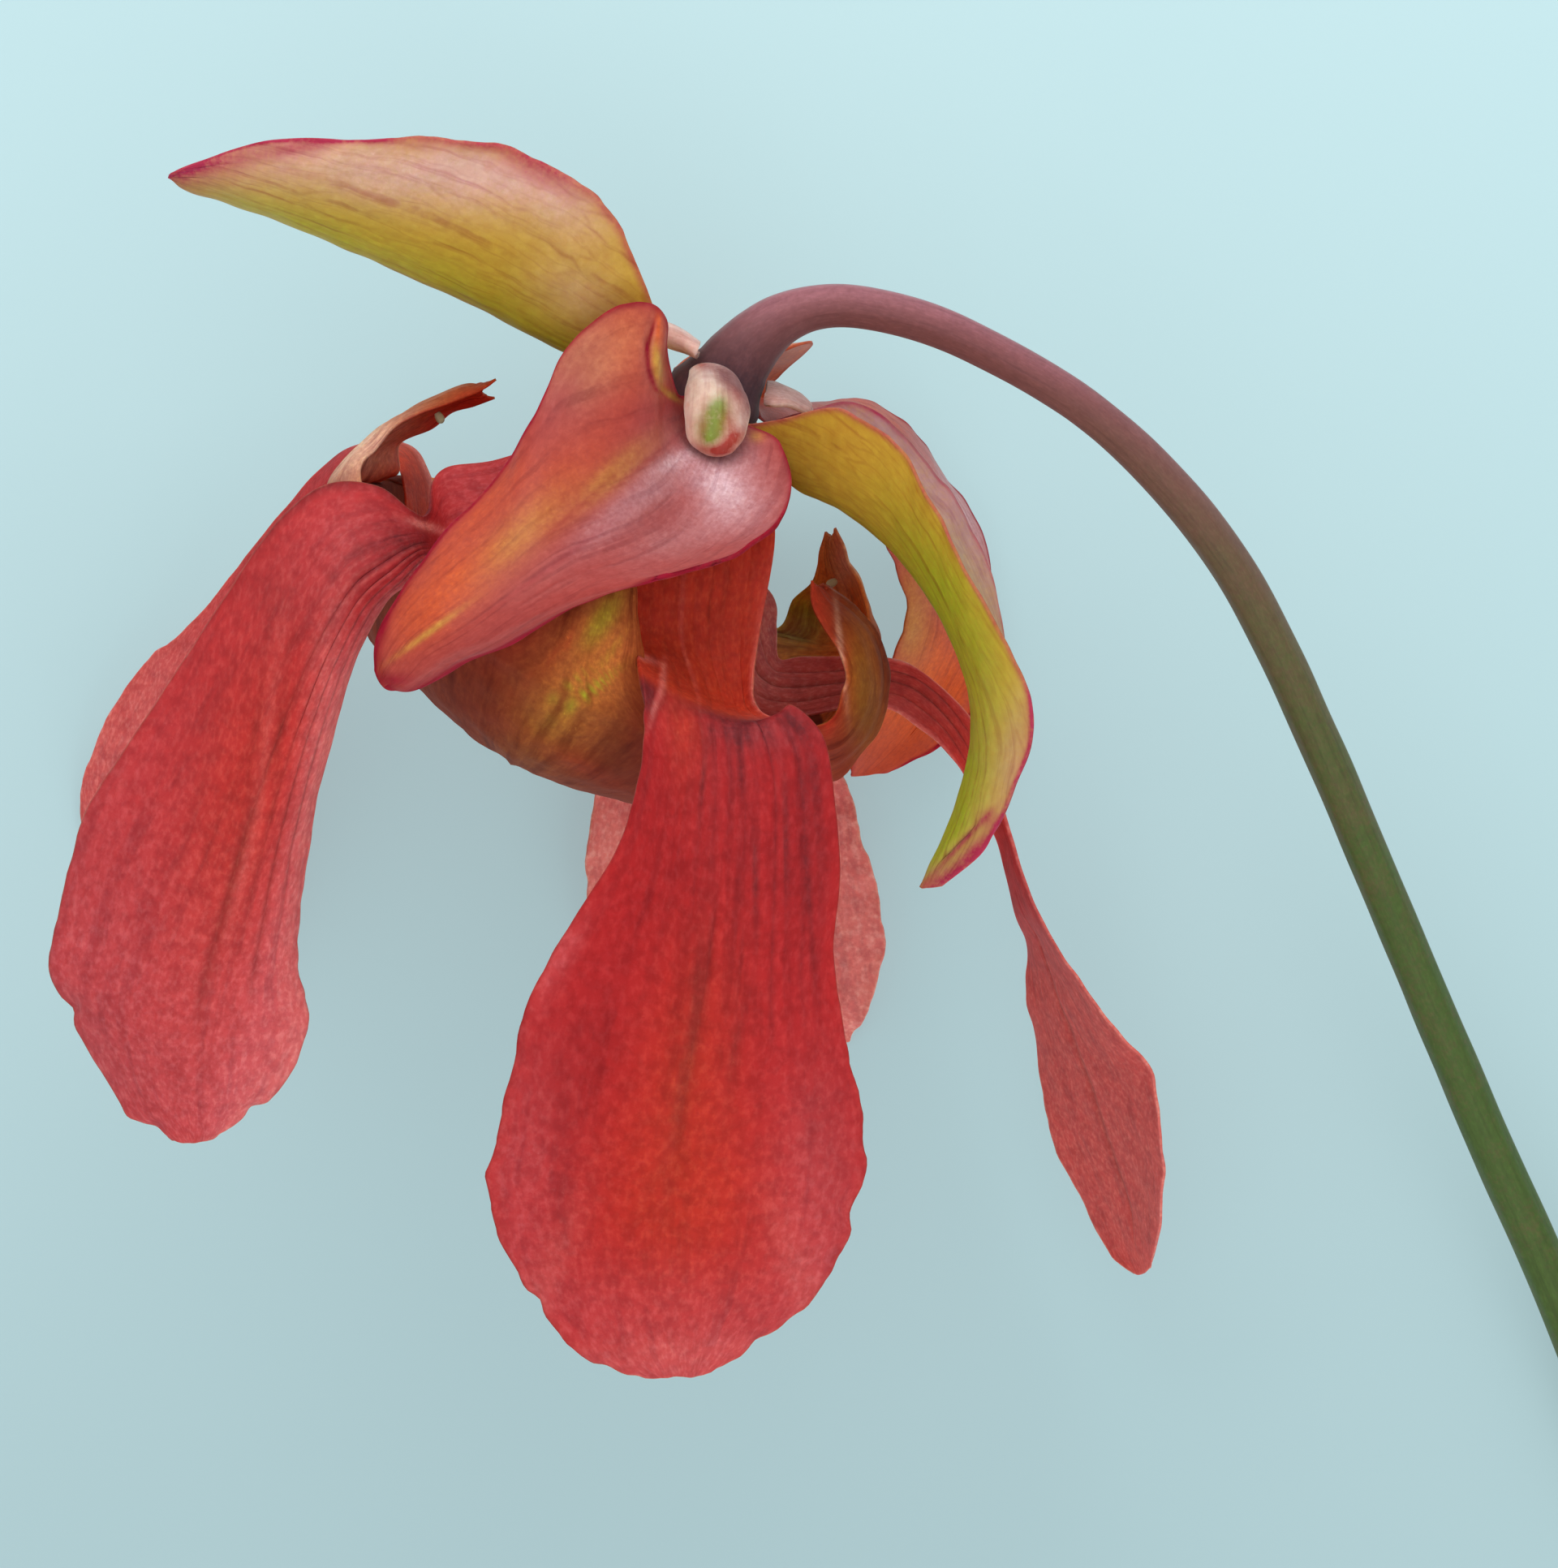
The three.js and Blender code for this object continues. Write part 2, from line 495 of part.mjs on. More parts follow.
// stigma: peg standing on the inner face of a lobe, clear of its keel
function stigma(lobe) {
  const k = lobe.rows.length - 3;
  const [before, row, after] = [k - 1, k, k + 1].map((i) => spread(lobe.rows[i]));
  const keel = across(row, 0);
  const inward = across(after, 0).sub(across(before, 0))
    .cross(across(row, 0.1).sub(across(row, -0.1))).normalize();
  if (inward.dot(round(0, 0, 20).sub(keel)) < 0) inward.negate();
  const start = keel.clone().addScaledVector(inward, 0.85);
  const path = [[0, 0.25], [0.3, 0.36], [0.7, 0.36], [1, 0.2]]
    .map(([d, r]) => [...start.clone().addScaledVector(inward, d).toArray(), r]);
  return tube(path, 8);
}

// Assembly
const flower = new THREE.Group();
flower.name = 'pitcher_plant_flower';
function add(name, geometry, color, roughness) {
  const mesh = new THREE.Mesh(geometry, new THREE.MeshStandardMaterial({ color, roughness, metalness: 0 }));
  mesh.name = name;
  flower.add(mesh);
}

const scapeRows = SCAPE.map(([a, d, h, r]) => [...at(a, d, h).toArray(), r]);
const [scapeRings, scapeSides] = SCAPE_GRID;
const scapePath = Array.from({ length: scapeRings }, (_, i) => along(scapeRows, i / (scapeRings - 1)));
add('scape', tube(scapePath, scapeSides), 0x6f5a4c, 0.55);
for (const [name, rows] of Object.entries(BRACTS)) {
  const [first, ...rest] = rows;
  add('bract_' + name, blade(rest, spread(first), ...BRACT_GRID, BRACT_THICK), 0xc78f7e, 0.5);
}
for (const [name, { angle, turn, rows }] of Object.entries(SEPALS)) {
  const color = { a: 0xb5a33f, b: 0xc4564b, c: 0xa7a03a, d: 0xc45a44, e: 0xc9654a }[name];
  const base = rooted(angle, turn, ...SEPAL_BASE);
  add('sepal_' + name, blade(rows, base, ...SEPAL_GRID, SEPAL_THICK), color, 0.45);
}
for (const [name, { angle, turn, rows }] of Object.entries(PETALS)) {
  const base = rooted(angle, turn, ...PETAL_BASE);
  add('petal_' + name, blade(rows, base, ...PETAL_GRID, PETAL_THICK), 0xb5323a, 0.5);
}
add('style_umbrella', umbrella(), 0x8a6a2c, 0.5);
add('ovary', ovary(), 0x9aa04e, 0.6);
LOBES.forEach((lobe, k) => add('stigma_' + (k + 1), stigma(lobe), 0xd8cf9a, 0.5));
for (let k = 0; k < STAMENS; k++) {
  add('stamen_' + String(k + 1).padStart(2, '0'), stamen(k), 0xd9c463, 0.6);
}

export default flower;
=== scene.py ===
"""Pitcher plant flower as picked, lying on a surface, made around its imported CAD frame.

Blades are drawn as rows of three points: left edge, midrib, right edge. The first two numbers of
a point are squares of 0.07 mm across and down a drawing of the flower seen from above. The third
is its height over the table in mm. A station is a row's number along its blade, and 0 is the base
row that is set round the receptacle.
"""

import bpy
import numpy as np
from bpy.props import FloatProperty, FloatVectorProperty, PointerProperty
from bpy.types import Operator, Panel, PropertyGroup
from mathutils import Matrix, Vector


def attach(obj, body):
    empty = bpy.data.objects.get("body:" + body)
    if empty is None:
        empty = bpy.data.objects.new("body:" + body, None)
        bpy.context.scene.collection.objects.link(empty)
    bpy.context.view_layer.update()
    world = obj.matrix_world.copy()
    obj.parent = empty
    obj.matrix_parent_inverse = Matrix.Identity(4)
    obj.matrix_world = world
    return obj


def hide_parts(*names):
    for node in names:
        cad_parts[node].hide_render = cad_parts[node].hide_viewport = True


bl_info = {
    "name": "Pitcher plant flower",
    "version": (1, 0, 0),
    "blender": (4, 5, 0),
    "location": "3D View > Sidebar > Flower",
    "description": "Makes a picked pitcher plant flower, piece by piece",
    "category": "Add Mesh",
}

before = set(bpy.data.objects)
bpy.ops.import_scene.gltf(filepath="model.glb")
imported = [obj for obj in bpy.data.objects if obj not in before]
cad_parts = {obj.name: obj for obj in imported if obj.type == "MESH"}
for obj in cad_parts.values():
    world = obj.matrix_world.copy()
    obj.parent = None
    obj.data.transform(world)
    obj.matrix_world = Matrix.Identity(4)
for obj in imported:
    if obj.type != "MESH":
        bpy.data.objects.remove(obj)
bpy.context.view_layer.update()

# The drawing
MM = 0.001
SQUARE = 0.07 * MM
ORIGIN = (1099.6, 1083.3)  # drawing point over the frame's origin
MIDDLE = (960.0, 966.0)  # centre of the drawing
LEVEL = 40.0  # height in mm at which the drawing is true to scale
EYE = 900.0  # height of the eye over that level, in mm
HEART = (885, 478, 40)  # centre of the receptacle
LEAN = np.radians(29)  # flower axis, left of straight down on the drawing
TILT = np.radians(15)  # flower axis, below the level
FIFTH = 72.0  # a fifth of a turn, in degrees
STAMENS = 30
SEPAL_BASE = (4.9, 1.0, 24)  # a base row's radius and depth in mm, and half its arc in degrees
PETAL_BASE = (4.3, 3.2, 24)
BRACT_GRID = (70, 60)  # rings along a blade and points across it
SEPAL_GRID = (170, 90)
PETAL_GRID = (230, 110)
SCAPE_GRID = (460, 48)  # rings along the scape and sides round it
UMBRELLA_GRID = (36, 70, 80)  # points across a fifth, rings of the bowl and rings of a lobe
NOTCH = 7.0  # usual length of the notches in a margin, in mm
RUFFLE = 14.0  # length of a margin's waves, in mm
LUMP_SIZE, LUMP_HEIGHT = 3.5, 0.05  # low lumps of every blade, in mm
# a groove is painted with shade along its furrow, more the deeper it is
DEEP_GROOVE = 0.2  # depth in mm from which a groove is painted at full strength
LINES_SEED = 9
RIDGES, RIDGE_HEIGHT = 9, 0.012  # ridges round the scape, as a part of its radius
PULL = 0.035  # how far the bowl is drawn in between two lobes, as a part of its radius
RIB = 0.05  # half-width in v of the umbrella's ribs

# Blades, drawn from the flower's front
SEPALS = {
    "a": {"angle": -72, "turn": -1, "rows": [
        [812, 400, 48.5, 800, 466, 43, 812, 410, 37],
        [780, 315, 53, 692, 427, 45, 765, 345, 35],
        [739, 244, 55, 602, 380, 46, 725, 285, 36],
        [640, 187, 56, 502, 334, 47, 625, 235, 37],
        [540, 169, 56, 402, 291, 47, 525, 215, 38],
        [440, 173, 55, 302, 252, 48, 430, 205, 40],
        [330, 173, 53, 240, 233, 48, 320, 195, 43],
        [210, 213, 49, 207, 219, 48, 212, 216, 47]]},
    "b": {"angle": 0, "turn": 1, "rows": [
        [832, 484, 46.5, 864, 553, 50.3, 950, 536, 48.5],
        [824, 455, 47, 855, 573, 52.8, 966, 558, 50.5],
        [819, 425, 49, 840, 596, 55.2, 975, 588, 52.5],
        [819, 393, 51, 822, 617, 57.6, 973, 614, 54.2],
        [799, 374, 52.5, 800, 636, 60, 962, 640, 56],
        [752, 382, 54.2, 770, 650, 62.6, 935, 662, 59],
        [698, 428, 57, 732, 664, 64.6, 897, 690, 61.8],
        [660, 512, 60, 675, 690, 67.3, 814, 711, 65.2],
        [612, 588, 62, 622, 730, 68.6, 724, 740, 66.8],
        [550, 652, 64, 570, 768, 68.8, 648, 779, 67],
        [505, 714, 64.5, 521, 800, 68, 580, 812, 66.6],
        [468, 782, 65, 490, 834, 67, 522, 846, 65.5],
        [463, 826, 65, 474, 846, 65.5, 490, 849, 65]]},
    "c": {"angle": 72, "turn": 1, "rows": [
        [965, 516, 45.5, 975, 592, 42.5, 990, 508, 37],
        [1030, 503, 53, 1038, 624, 46, 1060, 497, 35],
        [1092, 536, 57, 1100, 674, 47, 1128, 556, 34],
        [1142, 607, 59, 1156, 748, 48, 1185, 627, 35],
        [1192, 702, 60, 1193, 832, 48, 1218, 707, 36],
        [1242, 802, 60, 1201, 896, 48, 1241, 801, 38],
        [1275, 885, 58, 1193, 957, 48, 1255, 880, 40],
        [1250, 975, 55, 1175, 1013, 48, 1238, 970, 43],
        [1211, 1047, 52, 1156, 1055, 48, 1200, 1036, 45],
        [1160, 1092, 49, 1135, 1093, 48, 1148, 1086, 47.5]]},
    "d": {"angle": 144, "turn": 1, "rows": [
        [975, 545, 33, 995, 515, 29, 992, 497, 24],
        [1040, 600, 25, 1072, 545, 21, 1070, 494, 15],
        [1085, 662, 20, 1140, 615, 15, 1140, 550, 8],
        [1117, 735, 17, 1178, 700, 11, 1200, 642, 5],
        [1105, 795, 16, 1188, 780, 9, 1226, 742, 5],
        [1070, 870, 15, 1160, 850, 8, 1230, 830, 6],
        [1052, 925, 14, 1115, 910, 9, 1174, 908, 8],
        [1048, 957, 12, 1072, 955, 11, 1096, 951, 10]]},
    "e": {"angle": -144, "turn": -1, "rows": [
        [852, 440, 32, 905, 440, 29, 1000, 421, 27],
        [820, 500, 21, 885, 480, 17, 946, 480, 17],
        [770, 590, 9, 862, 560, 7, 930, 545, 9],
        [740, 680, 2.6, 845, 660, 1.2, 925, 640, 3.4],
        [725, 750, 0.35, 828, 740, 0.35, 915, 725, 0.8],
        [722, 810, 0.35, 818, 800, 0.35, 900, 785, 0.35],
        [732, 870, 0.35, 808, 865, 0.35, 872, 845, 0.35],
        [775, 925, 0.35, 800, 925, 0.35, 830, 915, 0.35]]},
}
PETALS = {
    "1": {"angle": 36, "turn": 1, "rows": [
        [800, 600, 51, 872, 590, 49, 945, 585, 47],
        [783, 700, 53, 868, 690, 51, 955, 665, 50],
        [785, 785, 55, 862, 788, 52, 937, 775, 51],
        [786, 812, 60.6, 880, 862, 55, 928, 858, 55],
        [790, 836, 62.8, 886, 882, 61, 956, 886, 60],
        [794, 862, 64, 892, 908, 63.5, 978, 871, 61.5],
        [796, 900, 64, 896, 965, 65, 1014, 910, 62],
        [787, 960, 63, 893, 1045, 65.5, 1029, 995, 62],
        [760, 1048, 62, 886, 1130, 65, 1034, 1090, 61],
        [705, 1136, 61, 878, 1215, 64, 1027, 1180, 61],
        [650, 1240, 60, 868, 1300, 63, 1042, 1285, 60],
        [615, 1390, 58, 855, 1395, 61.5, 1064, 1385, 58],
        [606, 1490, 57, 845, 1490, 60, 1052, 1500, 56],
        [655, 1600, 56, 838, 1580, 58, 1008, 1592, 55],
        [732, 1678, 55, 836, 1655, 56, 925, 1660, 54],
        [795, 1697, 55, 838, 1697, 55, 875, 1690, 54.5]]},
    "2": {"angle": -36, "turn": 1, "rows": [
        [720, 530, 49, 738, 580, 49, 755, 640, 50],
        [613, 566, 50, 635, 630, 51, 662, 695, 53.5],
        [543, 580, 51, 566, 645, 52.5, 592, 705, 55],
        [526, 632, 54.5, 535, 668, 55.5, 543, 700, 57],
        [505, 632, 59, 512, 672, 61, 520, 700, 61],
        [465, 602, 60, 478, 690, 64, 505, 715, 62],
        [405, 599, 60, 432, 725, 65, 475, 742, 62],
        [345, 641, 59, 386, 800, 65, 448, 788, 62],
        [291, 716, 58, 350, 880, 64.5, 424, 855, 61],
        [236, 800, 57, 318, 965, 64, 403, 930, 60],
        [171, 900, 56, 288, 1050, 63, 385, 1010, 59],
        [107, 1000, 55, 262, 1130, 62, 370, 1110, 58],
        [72, 1120, 54, 240, 1200, 61, 367, 1188, 57],
        [66, 1200, 54, 225, 1265, 60, 380, 1252, 56],
        [106, 1288, 54, 222, 1325, 58, 346, 1338, 55],
        [158, 1370, 54, 228, 1372, 56, 298, 1380, 55],
        [212, 1403, 55, 238, 1409, 55, 262, 1402, 55]]},
    "3": {"angle": -108, "turn": 1, "rows": [
        [742, 478, 32, 732, 498, 35, 730, 520, 38],
        [694, 575, 27, 682, 600, 30, 674, 622, 34],
        [612, 620, 27, 602, 640, 30.5, 592, 660, 34],
        [565, 648, 29, 554, 662, 32, 545, 676, 35],
        [536, 640, 29.5, 520, 648, 32.5, 504, 654, 35.5],
        [530, 594, 28, 514, 596, 30.5, 499, 600, 33],
        [504, 550, 25, 495, 557, 27.5, 485, 568, 29.5],
        [450, 546, 20, 452, 560, 23, 458, 581, 26.5],
        [398, 576, 15, 405, 610, 18.5, 420, 660, 24],
        [308, 680, 10.5, 322, 745, 14, 352, 815, 20],
        [240, 765, 8, 258, 850, 10.5, 322, 925, 17],
        [168, 828, 5.5, 210, 950, 6.5, 302, 1020, 13],
        [112, 930, 3, 178, 1040, 3.2, 286, 1105, 9],
        [100, 1000, 1.6, 168, 1105, 0.9, 271, 1175, 5],
        [120, 1085, 0.5, 172, 1150, 0.35, 245, 1205, 2],
        [155, 1165, 0.35, 182, 1190, 0.35, 210, 1205, 0.35]]},
    "4": {"angle": 180, "turn": 1, "rows": [
        [930, 560, 27, 885, 565, 25, 835, 560, 27],
        [860, 605, 17, 820, 600, 16, 790, 605, 17],
        [830, 630, 11.5, 800, 630, 10.5, 770, 635, 11.5],
        [840, 680, 7.5, 802, 682, 6, 762, 690, 7.5],
        [905, 740, 6, 822, 745, 4, 747, 755, 6],
        [965, 820, 5.5, 842, 830, 3, 743, 850, 5],
        [1024, 920, 5, 862, 925, 2.2, 738, 955, 4.5],
        [1058, 1018, 4.2, 880, 1030, 1.1, 722, 1055, 3.8],
        [1084, 1110, 3.5, 895, 1130, 0.35, 735, 1150, 3],
        [1088, 1175, 2.8, 908, 1200, 0.35, 775, 1225, 1.6],
        [1072, 1240, 1.8, 925, 1255, 0.35, 850, 1270, 0.6],
        [1046, 1283, 0.6, 1000, 1292, 0.35, 950, 1295, 0.35]]},
    "5": {"angle": 108, "turn": 1, "rows": [
        [920, 582, 35.5, 945, 568, 34, 960, 550, 32],
        [862, 680, 32, 890, 680, 29.5, 914, 672, 27.5],
        [852, 745, 32.5, 903, 742, 29.5, 954, 738, 27],
        [870, 815, 34, 914, 795, 31, 956, 775, 28],
        [905, 865, 34.5, 938, 838, 31.5, 960, 812, 28.5],
        [955, 885, 33, 978, 850, 31, 995, 810, 29],
        [1078, 870, 31, 1088, 840, 28.3, 1096, 811, 28.3],
        [1138, 900, 30, 1148, 868, 28, 1152, 840, 27],
        [1184, 948, 28, 1196, 930, 28, 1210, 905, 27],
        [1208, 995, 26, 1217, 985, 27, 1232, 975, 27],
        [1230, 1040, 24, 1240, 1035, 26, 1248, 1040, 28],
        [1250, 1120, 21, 1259, 1110, 25, 1275, 1115, 30],
        [1266, 1170, 18, 1285, 1165, 24, 1308, 1178, 32],
        [1270, 1250, 15, 1312, 1245, 23, 1362, 1252, 33],
        [1285, 1340, 13, 1342, 1325, 22, 1412, 1312, 33],
        [1302, 1412, 12, 1367, 1402, 20, 1431, 1395, 31],
        [1335, 1485, 12, 1390, 1470, 19, 1434, 1465, 28],
        [1370, 1545, 13, 1402, 1532, 17, 1425, 1522, 23],
        [1398, 1570, 15, 1408, 1570, 16, 1416, 1560, 18]]},
}
BRACTS = {
    "front": [
        [851, 458, 44.4, 880, 452, 45.3, 910, 470, 44.6],
        [846, 482, 48.6, 884, 478, 50.5, 920, 492, 48],
        [844, 512, 51.3, 884, 512, 52.6, 922, 516, 50],
        [849, 542, 52.6, 887, 542, 53.6, 914, 541, 52],
        [868, 559, 52.5, 885, 562, 53.2, 902, 558, 52.5]],
    "left": [
        [862, 421, 42, 860, 431, 44, 860, 441, 43.5],
        [842, 408, 42, 842, 420, 44, 842, 433, 42.5],
        [818, 397, 43, 818, 411, 44.5, 820, 426, 43],
        [797, 399, 44, 792, 408, 44.5, 798, 417, 44]],
    "right": [
        [945, 470, 38, 944, 487, 40, 943, 500, 41],
        [960, 472, 37.5, 958, 489, 40.3, 954, 502, 41.8],
        [985, 484, 37, 980, 494, 39.3, 974, 502, 41],
        [999, 500, 37.5, 1002, 506, 38.5, 998, 510, 39.5]],
}
# rows of the scape: across, down, height, radius in mm; the cut end rests on the table
SCAPE = [
    [866, 512, 39.3, 2.6], [873, 500, 39.5, 3.9], [881, 486, 39.9, 4.2], [890, 471, 40, 3.7],
    [900, 456, 40, 3.3], [911, 440, 40, 3.0], [934, 415, 40, 2.6], [962, 394, 40, 2.25],
    [1000, 380, 40, 1.95], [1045, 377, 39.8, 1.85], [1105, 387, 39.4, 1.82], [1160, 404, 39, 1.78],
    [1216, 430, 38.4, 1.72], [1293, 473, 37.4, 1.7], [1351, 513, 36.4, 1.72], [1413, 568, 35, 1.8],
    [1477, 640, 33, 1.87], [1529, 715, 30.7, 1.88], [1580, 812, 28, 1.88], [1640, 945, 24.5, 1.87],
    [1708, 1105, 20.3, 1.88], [1771, 1255, 16.2, 1.93], [1837, 1410, 12, 2.0], [1900, 1550, 8.4, 2.05],
    [1960, 1695, 5.4, 2.12], [2012, 1825, 3.2, 2.2], [2056, 1935, 2.3, 2.35]]
# lobes of the umbrella, from where the bowl ends to their tips
LOBES = [
    {"angle": -144, "rows": [
        [742, 632, 13, 622, 612, 13.5, 535, 612, 18.5],
        [722, 622, 15, 645, 610, 16, 580, 612, 18.5],
        [700, 617, 18, 658, 612, 19, 612, 614, 19.5],
        [675, 613, 20.5, 660, 618, 21, 645, 616, 21]]},
    {"angle": -72, "rows": [
        [491, 580, 32, 412, 599, 44, 446, 596, 49.5],
        [492, 546, 34, 447, 555, 43.5, 463, 555, 47.5],
        [532, 528, 35.5, 485, 525, 43, 496, 520, 46.5],
        [557, 507, 37, 533, 498, 42, 541, 500, 45],
        [585, 500, 38, 572, 482, 41.5, 578, 488, 44],
        [610, 491, 38.5, 594, 484, 40.5, 611, 467, 42.5]]},
    {"angle": 0, "rows": [
        [592, 702, 57.2, 700, 795, 60, 806, 852, 57.8],
        [600, 655, 58, 720, 748, 61.2, 790, 790, 59.5],
        [640, 635, 58.5, 738, 705, 60.3, 783, 725, 59],
        [690, 630, 57, 755, 665, 58.3, 785, 675, 57],
        [740, 632, 55, 778, 640, 55.8, 800, 645, 55],
        [788, 622, 53.6, 800, 632, 53.6, 815, 622, 53.6]]},
    {"angle": 72, "rows": [
        [1010, 892, 50, 1070, 902, 42, 1076, 868, 35.5],
        [1041, 845, 49, 1088, 843, 42, 1078, 812, 38],
        [1034, 805, 48, 1077, 791, 42, 1060, 775, 37],
        [1012, 770, 47, 1052, 757, 42, 1042, 750, 38],
        [1000, 742, 46, 1024, 735, 43, 1022, 730, 40],
        [1001, 715, 45, 1007, 724, 43.5, 1012, 719, 42]]},
    {"angle": 144, "rows": [
        [1076, 800, 25.5, 1050, 800, 18, 940, 775, 14],
        [1072, 765, 26.5, 1050, 745, 19, 978, 738, 16],
        [1062, 722, 27, 1040, 710, 20, 1002, 715, 18],
        [1045, 688, 26, 1030, 688, 21, 1010, 680, 19],
        [1030, 650, 25, 1025, 660, 22, 1017, 655, 20]]},
]
# radius and depth of the bowl and of the column inside it, in mm
BOWL = [
    [0, 35.1], [1, 35.1], [1.6, 35.2], [2.2, 35.3], [3.6, 35.4], [6, 35.4],
    [10, 34.9], [14, 33.5], [17.6, 31.5], [20.4, 29.0], [22.6, 26.1], [24.3, 23.8]]
COLUMN = [[0, 14.3], [1, 14.6], [1.15, 23], [1.3, 32.2], [2.2, 33.9], [3.6, 35.2]]

# Skins: the four tints, then each detail as the colour multiplied in, its amount and its scale
# Of the petal tints, shade is the dark veins and also painted shade in creases, folds, furrows and
# under the rolled lips; pale is the paler parts and also painted highlights on rolled rims and ridges
PETAL_TINTS = ("pink", "shade", "warm", "pale")
PETAL_SKIN = {
    "tints": ((0.66, 0.10, 0.11), (0.17, 0.016, 0.020), (0.64, 0.048, 0.016), (1.0, 0.28, 0.24)),
    "patch": ((0.62, 0.5, 0.55), 0.5, 800.0), "fleck": ((1.2, 1.9, 1.8), 0.75, (46.0, 36.0)),
    "streak": ((0.55, 0.5, 0.6), 0.45, (16.0, 1.5)), "net": ((0.6, 0.6, 0.6), 0.05, (30.0, 10.0)),
    "rough": 0.55, "relief": 0.03, "gloss": 0.12, "fuzz": 0.0, "through": 0.45,
}
GREEN_SEPALS = "ac"
GREEN_TINTS = ("blush", "grey", "lime", "rim")
GREEN_SKIN = {
    "tints": ((0.80, 0.48, 0.38), (0.50, 0.24, 0.24), (0.42, 0.48, 0.02), (0.45, 0.034, 0.085)),
    "patch": ((0.8, 0.6, 0.6), 0.22, 1100.0), "fleck": ((1.15, 1.3, 1.3), 0.5, (40.0, 26.0)),
    "streak": ((0.72, 0.48, 0.6), 0.8, (34.0, 0.8)), "net": ((0.72, 0.5, 0.6), 0.35, (26.0, 4.0)),
    "rough": 0.45, "relief": 0.02, "gloss": 0.2, "fuzz": 0.0, "through": 0.35,
}
# Of the red tints, the second is a painted highlight on sepal b and the pale web on sepal d
RED_TINTS = ("orange", "painted_sheen_and_web", "olive", "rim")
RED_SKIN = {
    "tints": ((0.72, 0.105, 0.02), (0.84, 0.54, 0.58), (0.62, 0.30, 0.05), (0.32, 0.004, 0.022)),
    "patch": ((0.68, 0.5, 0.55), 0.3, 1300.0), "fleck": ((1.25, 1.6, 1.6), 0.4, (56.0, 40.0)),
    "streak": ((0.62, 0.45, 0.5), 0.6, (28.0, 0.9)), "net": ((0.65, 0.5, 0.55), 0.08, (24.0, 7.0)),
    "rough": 0.38, "relief": 0.02, "gloss": 0.22, "fuzz": 0.0, "through": 0.2,
}
UMBRELLA_TINTS = ("amber", "red", "green", "fuzz")
UMBRELLA_SKIN = {
    "tints": ((0.86, 0.235, 0.055), (0.72, 0.045, 0.022), (0.50, 0.42, 0.03), (0.92, 0.50, 0.36)),
    "patch": ((0.5, 0.4, 0.45), 0.28, 1200.0), "fleck": ((1.5, 1.9, 1.6), 0.4, (56.0, 40.0)),
    "streak": ((0.5, 0.34, 0.4), 0.8, (14.0, 1.8)), "net": ((0.5, 0.4, 0.4), 0.08, (30.0, 12.0)),
    "rough": 0.6, "relief": 0.02, "gloss": 0.06, "fuzz": 0.0, "through": 0.35,
}
# the scape's red tint is partly a painted highlight on its upper side, and its dark tint partly painted
# shade on its underside
SCAPE_SKIN = {  # its tints: green, the cut end, red, dark
    "tints": ((0.066, 0.112, 0.021), (0.42, 0.46, 0.2), (0.40, 0.14, 0.165), (0.07, 0.03, 0.038)),
    "patch": ((0.6, 0.55, 0.6), 0.25, 900.0), "fleck": ((1.5, 1.6, 1.6), 0.3, (56.0, 40.0)),
    "streak": ((0.6, 0.55, 0.6), 0.4, (30.0, 1.0)), "net": ((0.6, 0.6, 0.6), 0.1, (20.0, 6.0)),
    "rough": 0.5, "relief": 0.015, "gloss": 0.25, "fuzz": 0.1, "through": 0.1,
}
BRACT_TINTS = ("green", "red", "cream", "grey")
BRACT_SKIN = {
    "tints": ((0.20, 0.27, 0.02), (0.42, 0.05, 0.035), (0.86, 0.66, 0.52), (0.27, 0.095, 0.09)),
    "patch": ((0.76, 0.55, 0.5), 0.4, 900.0), "fleck": ((1.15, 1.3, 1.35), 0.5, (14.0, 9.0)),
    "streak": ((0.72, 0.48, 0.5), 0.45, (12.0, 0.8)), "net": ((0.7, 0.5, 0.5), 0.15, (14.0, 5.0)),
    "rough": 0.42, "relief": 0.02, "gloss": 0.3, "fuzz": 0.08, "through": 0.3,
}
HEART_SKIN = {
    "tints": ((0.78, 0.60, 0.14),),
    "patch": ((0.5, 0.45, 0.4), 0.3, 900.0), "fleck": ((1.2, 1.3, 1.4), 0.4, (20.0, 14.0)),
    "streak": ((0.5, 0.45, 0.4), 0.2, (20.0, 3.0)), "net": ((0.5, 0.45, 0.4), 0.1, (20.0, 8.0)),
    "rough": 0.5, "relief": 0.02, "gloss": 0.2, "fuzz": 0.1, "through": 0.3,
}

